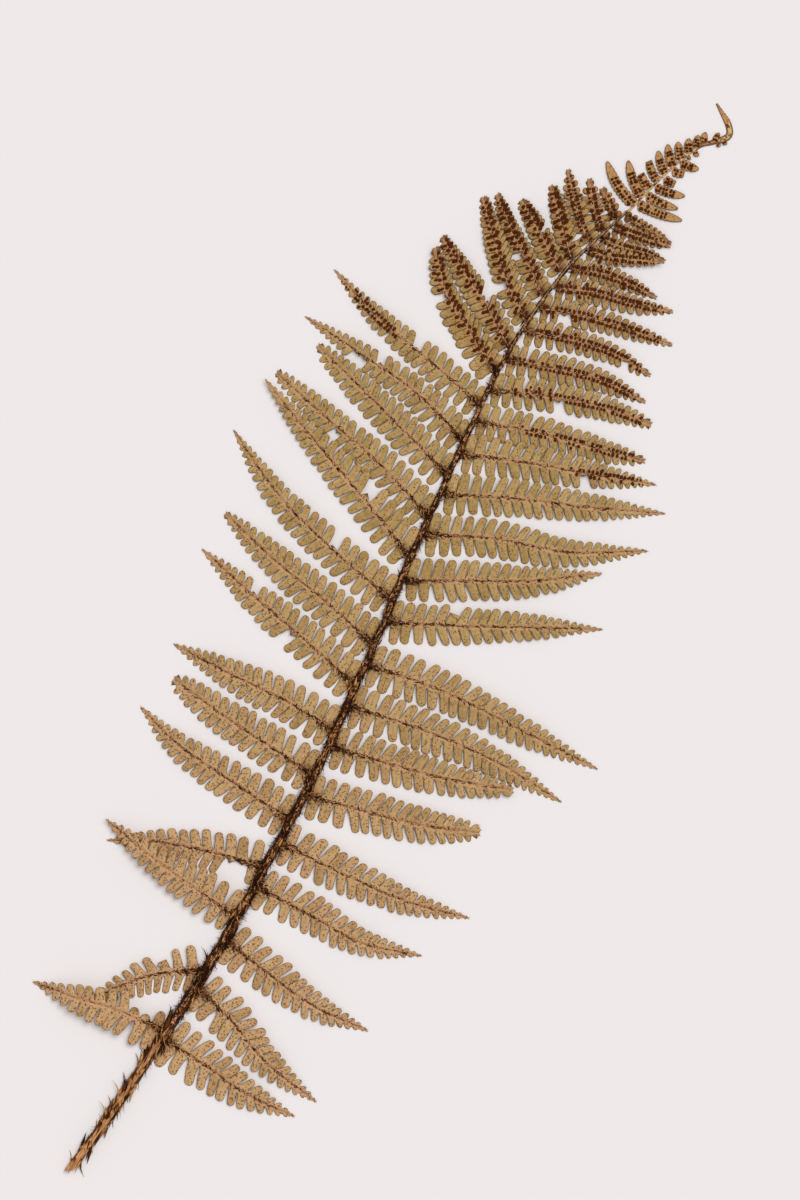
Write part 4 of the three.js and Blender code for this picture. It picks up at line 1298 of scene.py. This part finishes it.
class StalkLook(bpy.types.PropertyGroup):
    """Sizes and colours of the stalk and its scales."""

    density: FloatProperty(name="Scale density", description="Scales to a square mm of stalk",
                           default=0.62, min=0)
    seed: IntProperty(name="Seed", description="Draws another growth of scales", default=7)
    bare: tint("Bare", "Rind without scales", 226, 172, 122)
    fibre: tint("Fibre", "Darker fibres of the rind", 164, 104, 62)
    straw: tint("Straw", "Rind near the frond's end", 208, 164, 112)
    dark: tint("Dark", "Darkest scales", 44, 18, 5)
    brown: tint("Brown", "Usual scales", 104, 54, 22)
    golden: tint("Golden", "Tips that catch the light", 208, 150, 90)


class HeapLook(bpy.types.PropertyGroup):
    """Sizes and colours of the spore heaps."""

    length: FloatProperty(name="Length", description="Length of a heap, in mm", default=1.9)
    dark: tint("Dark", "Main colour", 56, 20, 4)
    brown: tint("Brown", "Paler grains", 112, 54, 18)


class StageLook(bpy.types.PropertyGroup):
    """The floor and the light."""

    paper: tint("Floor", "Colour of the floor", 243, 238, 238)
    around: FloatProperty(name="Light around", description="Strength of the even light", default=0.5)
    above: FloatProperty(name="Light above", description="Strength of the soft lamp", default=1.6)


class FERN_OT_pinnae(bpy.types.Operator):
    """Makes the blades of the large pinnae"""

    bl_idname = "fern.pinnae"
    bl_label = "Pinnae"

    def execute(self, context):
        look = context.scene.fern_leaf
        finish = leaf_finish(look)
        for pinna in all_pinnae():
            skin = Skin()
            for way in (1, -1):
                sheet = Sheet()
                edge = None
                for leaflet in pinna.leaflets(look, way):
                    edge = leaflet.blade(sheet, look, edge)
                sheet.pour(skin)
            pinna.rib(skin)
            piece = skin.to_object(f"blade_{pinna.name}", finish)
            dress(piece, "pinna", f"pinna_{pinna.name}")
        return {"FINISHED"}


def clump(y, across):
    """1 where a pinna leaves the stalk on that side."""
    nearest = min(abs(y - row["y"]) for row in (LEFT if across < 0 else RIGHT))
    return math.exp(-(nearest / CLUMP_REACH) ** 2) * smoothstep(abs(across), 0.1, 0.5)


def stalk_cover(y, across, top):
    """How thickly scales cover the stalk: the flanks first, the groove last."""
    start = smoothstep(y, 1, 5)
    middle = between(TOP_COVER, y)
    flank = lerp(middle, 1, smoothstep(abs(across), 0.4, 0.8))
    flank *= lerp(0.4, 1, smoothstep(y, 12, 26))
    end = between(COVER_FADES, y)
    more = 1 + 2.2 * clump(y, across) + smoothstep(abs(across), 0.5, 0.8) * (1 - smoothstep(y, 56, 64))
    return start * flank * end * more * (1 if top > 0.1 else 0)


def stalk_mesh():
    """The bare stalk: half round with a flat underside, grooved along its top, cut at its base."""
    skin = Skin()
    rings, cover, sizes = [], [], []
    first = STALK_LINE[0][1]
    for i in range(STALK_RINGS + 1):
        y = lerp(first, STALK_END, i / STALK_RINGS)
        half, height = stalk_half(y), between(STALK_HEIGHT, y)
        worn = lerp(0.82, 1, smoothstep(y, first, first + WORN_LENGTH))
        ring = []
        for k in range(STALK_SIDES):
            angle = math.tau * k / STALK_SIDES
            across, up = math.cos(angle), 0.45 + 0.55 * math.sin(angle)
            groove = 0.16 * math.exp(-(across / 0.3) ** 2) * (1 if up > 0.5 else 0)
            rough = 0.05 * noise.noise(Vector((across * 2, y * 0.35, up * 2)))
            x = stalk_x(y) + (across * worn + rough) * half
            z = max(up - groove + rough, 0) * height * lerp(0.9, 1, worn)
            slant = 0.9 * across * (1 - smoothstep(y, first, first + SLANT_LENGTH))
            shown = stalk_cover(y, across, up)
            pale = smoothstep(y, 350, 372) * (1 - smoothstep(abs(across + 0.25), 0.12, 0.36))
            covered = 0.4 * smoothstep(y, 16, 30) + 0.6 * smoothstep(y, 56, 70)
            inner = lerp(0.5, 0.25, smoothstep(y, 340, 360))
            flank = smoothstep(abs(across), inner, inner + 0.3)
            flank *= lerp(0.25, 1, smoothstep(y, 10, 26))
            shade = min(max(shown, covered, smoothstep(y, 3, 8) * flank), 1)
            ring.append(skin.point(x, y + slant, z, state=(shade, pale, abs(across))))
            cover.append(shown)
            sizes.append(between(SCALE_SIZE, y) * (1 + 0.4 * clump(y, across)))
        rings.append(ring)
    skin.loft(rings, turned=True)
    return skin, cover, sizes


class FERN_OT_stalk(bpy.types.Operator):
    """Makes the bare stalk with its groove and cut end"""

    bl_idname = "fern.stalk"
    bl_label = "Stalk"

    def execute(self, context):
        skin, _, _ = stalk_mesh()
        piece = skin.to_object("stalk_rind", stalk_finish(context.scene.fern_stalk))
        dress(piece, "stalk", "stalk")
        return {"FINISHED"}


def scale_seat(name):
    """The stalk's surface with its cover and scale sizes, for scales to grow on."""
    skin, cover, sizes = stalk_mesh()
    if name == "hairs":
        sizes = [min(size, HAIR_SIZE) for size in sizes]
        foot = HAIRS_FROM - PLAN_MIDDLE[1]
        cover = [thick * (1 if point[1] / MM > foot else HAIRS_BELOW)
                 for thick, point in zip(cover, skin.points)]
    mesh = mesh_of(name, skin.points, skin.faces)
    store(mesh, "cover", cover)
    store(mesh, "size", sizes)
    return mesh


class FERN_OT_stalk_scales(bpy.types.Operator):
    """Grows the brown scales and hairs of the stalk"""

    bl_idname = "fern.stalk_scales"
    bl_label = "Stalk scales"

    def execute(self, context):
        look = context.scene.fern_stalk
        finish = scale_finish(look)
        tree = scatter_tree()
        per_mm2 = 1 / (MM * MM)
        for number, way in enumerate((1, -1)):
            for kind, half, curl, density, shortest, longest, sideways, back, lift in SCALE_KINDS:
                piece = grown(
                    f"stalk_{kind}_{number + 1}", scale_seat(kind), tree,
                    lance(f"{kind}_shape", half, -0.12, 0.04, curl), finish,
                    Density=look.density * density * per_mm2, Shortest=shortest * MM, Longest=longest * MM,
                    Sideways=sideways, Forward=way, Back=back * way, Lift=lift, Narrow=0.45,
                    Seed=look.seed + 10 * number + len(kind),
                )
                dress(piece, "stalk")
        return {"FINISHED"}


class FERN_OT_rib_scales(bpy.types.Operator):
    """Grows the small scales along the ribs of the pinnae"""

    bl_idname = "fern.rib_scales"
    bl_label = "Rib scales"

    def execute(self, context):
        look = context.scene.fern_stalk
        draw = random.Random(look.seed)
        for word in ("left", "right"):
            spots = []
            for pinna in all_pinnae():
                if pinna.word == word:
                    spots += self.along(pinna, draw)
            piece = grown(
                f"rib_scales_{word}", seat_mesh("rib_seats", spots), seat_tree(),
                lance("rib_shape", 0.13, -0.3, 0.06, 0.3, ((0.0, 0.6), (0.45, 1.0))),
                scale_finish(look), Shortest=1.0 * MM, Longest=2.6 * MM, Sideways=0.55, Forward=1.0,
                Back=0.35, Lift=0.2, Narrow=0.5, Density=0.0, Seed=look.seed + 2,
            )
            dress(piece, "stalk")
        return {"FINISHED"}

    @staticmethod
    def along(pinna, draw):
        """Seats along one rib, crowded near the stalk."""
        s, spots = -0.5, []
        scaly = between(RIB_SCALES, pinna.y)
        crowded = lerp(*RIB_SCALES_CLOSE, smoothstep(pinna.y, 300, 380))
        while s < pinna.length * 0.92:
            close = close_to(s)
            fewer = lerp(1.1, 0.55, max(s, 0) / pinna.length)
            s += draw.expovariate(scaly * fewer * lerp(RIB_SCALES_FAR, crowded, close))
            if s > pinna.length * 0.94:
                break
            v = draw.gauss(0, lerp(0.2, 0.14 * min(pinna.reach.values()), close))
            x, y, z = pinna.place(s, v)
            z += -SETTLE + 0.18 + 0.3 * max(0, 1 - abs(v) / 0.5)
            hx, hy = pinna.path.heading(pinna.start + max(s, 0)) * draw.choice((-1, 1))
            spots.append((in_metres(x, y, z), lerp(0.72, 1.05, close) * draw.uniform(0.8, 1.2), (hx, hy, 0)))
        return spots


class FERN_OT_spore_heaps(bpy.types.Operator):
    """Sets the spore heaps on the upper pinnae"""

    bl_idname = "fern.spore_heaps"
    bl_label = "Spore heaps"

    def execute(self, context):
        leaf, look = context.scene.fern_leaf, context.scene.fern_heap
        draw = random.Random(23)
        spots = []
        for pinna in all_pinnae():
            for way in (1, -1):
                for leaflet in pinna.leaflets(leaf, way):
                    spots += list(leaflet.heaps(draw))
        for small in small_pinnae():
            spots += list(small.heaps(draw))
        seats = [(in_metres(*place), size, way) for place, size, way in spots]
        piece = grown(
            "spore_heaps", seat_mesh("heap_seats", seats), seat_tree(), dome("heap_shape"),
            heap_finish(look), Shortest=0.95 * look.length * MM, Longest=1.1 * look.length * MM,
            Sideways=0.4, Forward=1.0, Back=0.9, Lift=0.0, Narrow=0.82, Density=0.0, Seed=5,
        )
        dress(piece, "frond_tip")
        return {"FINISHED"}


class FERN_OT_frond_tip(bpy.types.Operator):
    """Makes the frond's end with its small pinnae and hooked apex"""

    bl_idname = "fern.frond_tip"
    bl_label = "Frond tip"

    def execute(self, context):
        look = context.scene.fern_leaf
        skin = Skin()
        path = Path(TIP_LINE)
        widths = [(path.length * k / (len(TIP_LINE) - 1), half) for k, half in enumerate(TIP_HALF_WIDTH)]
        rings = []
        for i in range(TIP_RINGS + 1):
            s = path.length * i / TIP_RINGS
            x, y = path.spot(s)
            hx, hy = path.heading(s)
            blade = smoothstep(s, path.length - 9.5, path.length - 7.5)
            teeth = 1 + 0.16 * blade * (2 * abs((s / 1.25) % 1 - 0.5) - 0.5)
            half = between(widths, s) * teeth
            top = lerp(TIP_HEIGHT, 0.5, i / TIP_RINGS)
            ring = []
            for across, up in TIP_SECTION:
                edge = (1 - abs(across)) * half if blade > 0.5 else FAR_FROM_EDGE
                neck = smoothstep(s, 34, 36) * (1 - smoothstep(s, 43, 46))
                leaf = (abs(across) * half + 0.6 * neck, s, edge)
                state = (0.3, 1, -1 if blade < 0.5 else 0)
                ring.append(skin.point(x + hy * half * across, y - hx * half * across, up * top, leaf, state))
            rings.append(ring)
        skin.loft(rings)
        for small in small_pinnae():
            small.blade(skin, look)
        piece = skin.to_object("frond_end", leaf_finish(look))
        dress(piece, "frond_tip", "frond_tip")
        return {"FINISHED"}


class FERN_OT_stage(bpy.types.Operator):
    """Lays the floor and sets the light and the camera"""

    bl_idname = "fern.stage"
    bl_label = "Floor, light and camera"

    def execute(self, context):
        look = context.scene.fern_stage
        half = PAPER_WIDTH / 2
        corners = [(x * half, y * half, FLOOR_HEIGHT) for x, y in ((-1, -1), (1, -1), (1, 1), (-1, 1))]
        mesh = mesh_of("floor", corners, [(0, 1, 2, 3)])
        paint = Finish("plain_paper")
        paint.bump(paint.noise(900, 3), 0.00003, 0.4)
        mesh.materials.append(paint.done((*look.paper, 1.0), 0.9, 0.1))
        add_piece("floor", mesh)

        world = bpy.data.worlds.new("even_light")
        world.use_nodes = True
        background = world.node_tree.nodes["Background"]
        background.inputs["Color"].default_value = (1.0, 0.99, 0.985, 1.0)
        background.inputs["Strength"].default_value = look.around
        context.scene.world = world

        lamp = bpy.data.lights.new("soft_lamp", "SUN")
        lamp.energy = look.above
        lamp.angle = LAMP_ANGLE
        sun = bpy.data.objects.new("soft_lamp", lamp)
        context.scene.collection.objects.link(sun)
        sun.rotation_euler = Vector(LAMP_WAY).to_track_quat("-Z", "Y").to_euler()

        data = bpy.data.cameras.new("camera")
        data.sensor_fit = "AUTO"
        data.sensor_width = SENSOR
        data.lens = LENS
        data.clip_end = 20
        camera = bpy.data.objects.new("camera", data)
        context.scene.collection.objects.link(camera)
        camera.location = (*VIEW_CENTRE, VIEW_HEIGHT * LENS / SENSOR)
        camera.rotation_euler = (0, 0, VIEW_TURN)
        context.scene.camera = camera
        context.scene.view_settings.view_transform = "Standard"
        return {"FINISHED"}


class FERN_PT_panel(bpy.types.Panel):
    """Lists the steps that build the frond"""

    bl_label = "Fern frond"
    bl_idname = "FERN_PT_panel"
    bl_space_type = "VIEW_3D"
    bl_region_type = "UI"
    bl_category = "Fern"

    def draw(self, context):
        for group in ("fern_leaf", "fern_stalk", "fern_heap", "fern_stage"):
            box = self.layout.box()
            settings = getattr(context.scene, group)
            for name in settings.__annotations__:
                box.prop(settings, name)
        for step in STEPS:
            self.layout.operator(step.bl_idname)


LOOKS = {"fern_leaf": LeafLook, "fern_stalk": StalkLook, "fern_heap": HeapLook, "fern_stage": StageLook}
STEPS = (FERN_OT_stage, FERN_OT_pinnae, FERN_OT_stalk, FERN_OT_stalk_scales, FERN_OT_rib_scales,
         FERN_OT_frond_tip, FERN_OT_spore_heaps)


def register():
    """Adds the frond's settings, steps and panel."""
    for kind in (*LOOKS.values(), *STEPS, FERN_PT_panel):
        bpy.utils.register_class(kind)
    for name, kind in LOOKS.items():
        setattr(bpy.types.Scene, name, PointerProperty(type=kind))


def unregister():
    """Removes them again."""
    for name in LOOKS:
        delattr(bpy.types.Scene, name)
    for kind in (FERN_PT_panel, *reversed(STEPS), *reversed(LOOKS.values())):
        bpy.utils.unregister_class(kind)


def main():
    """Builds the frond and its stage."""
    register()
    bpy.ops.fern.stage()
    bpy.ops.fern.pinnae()
    bpy.ops.fern.stalk()
    bpy.ops.fern.stalk_scales()
    bpy.ops.fern.rib_scales()
    bpy.ops.fern.frond_tip()
    bpy.ops.fern.spore_heaps()


if __name__ == "__main__":
    main()
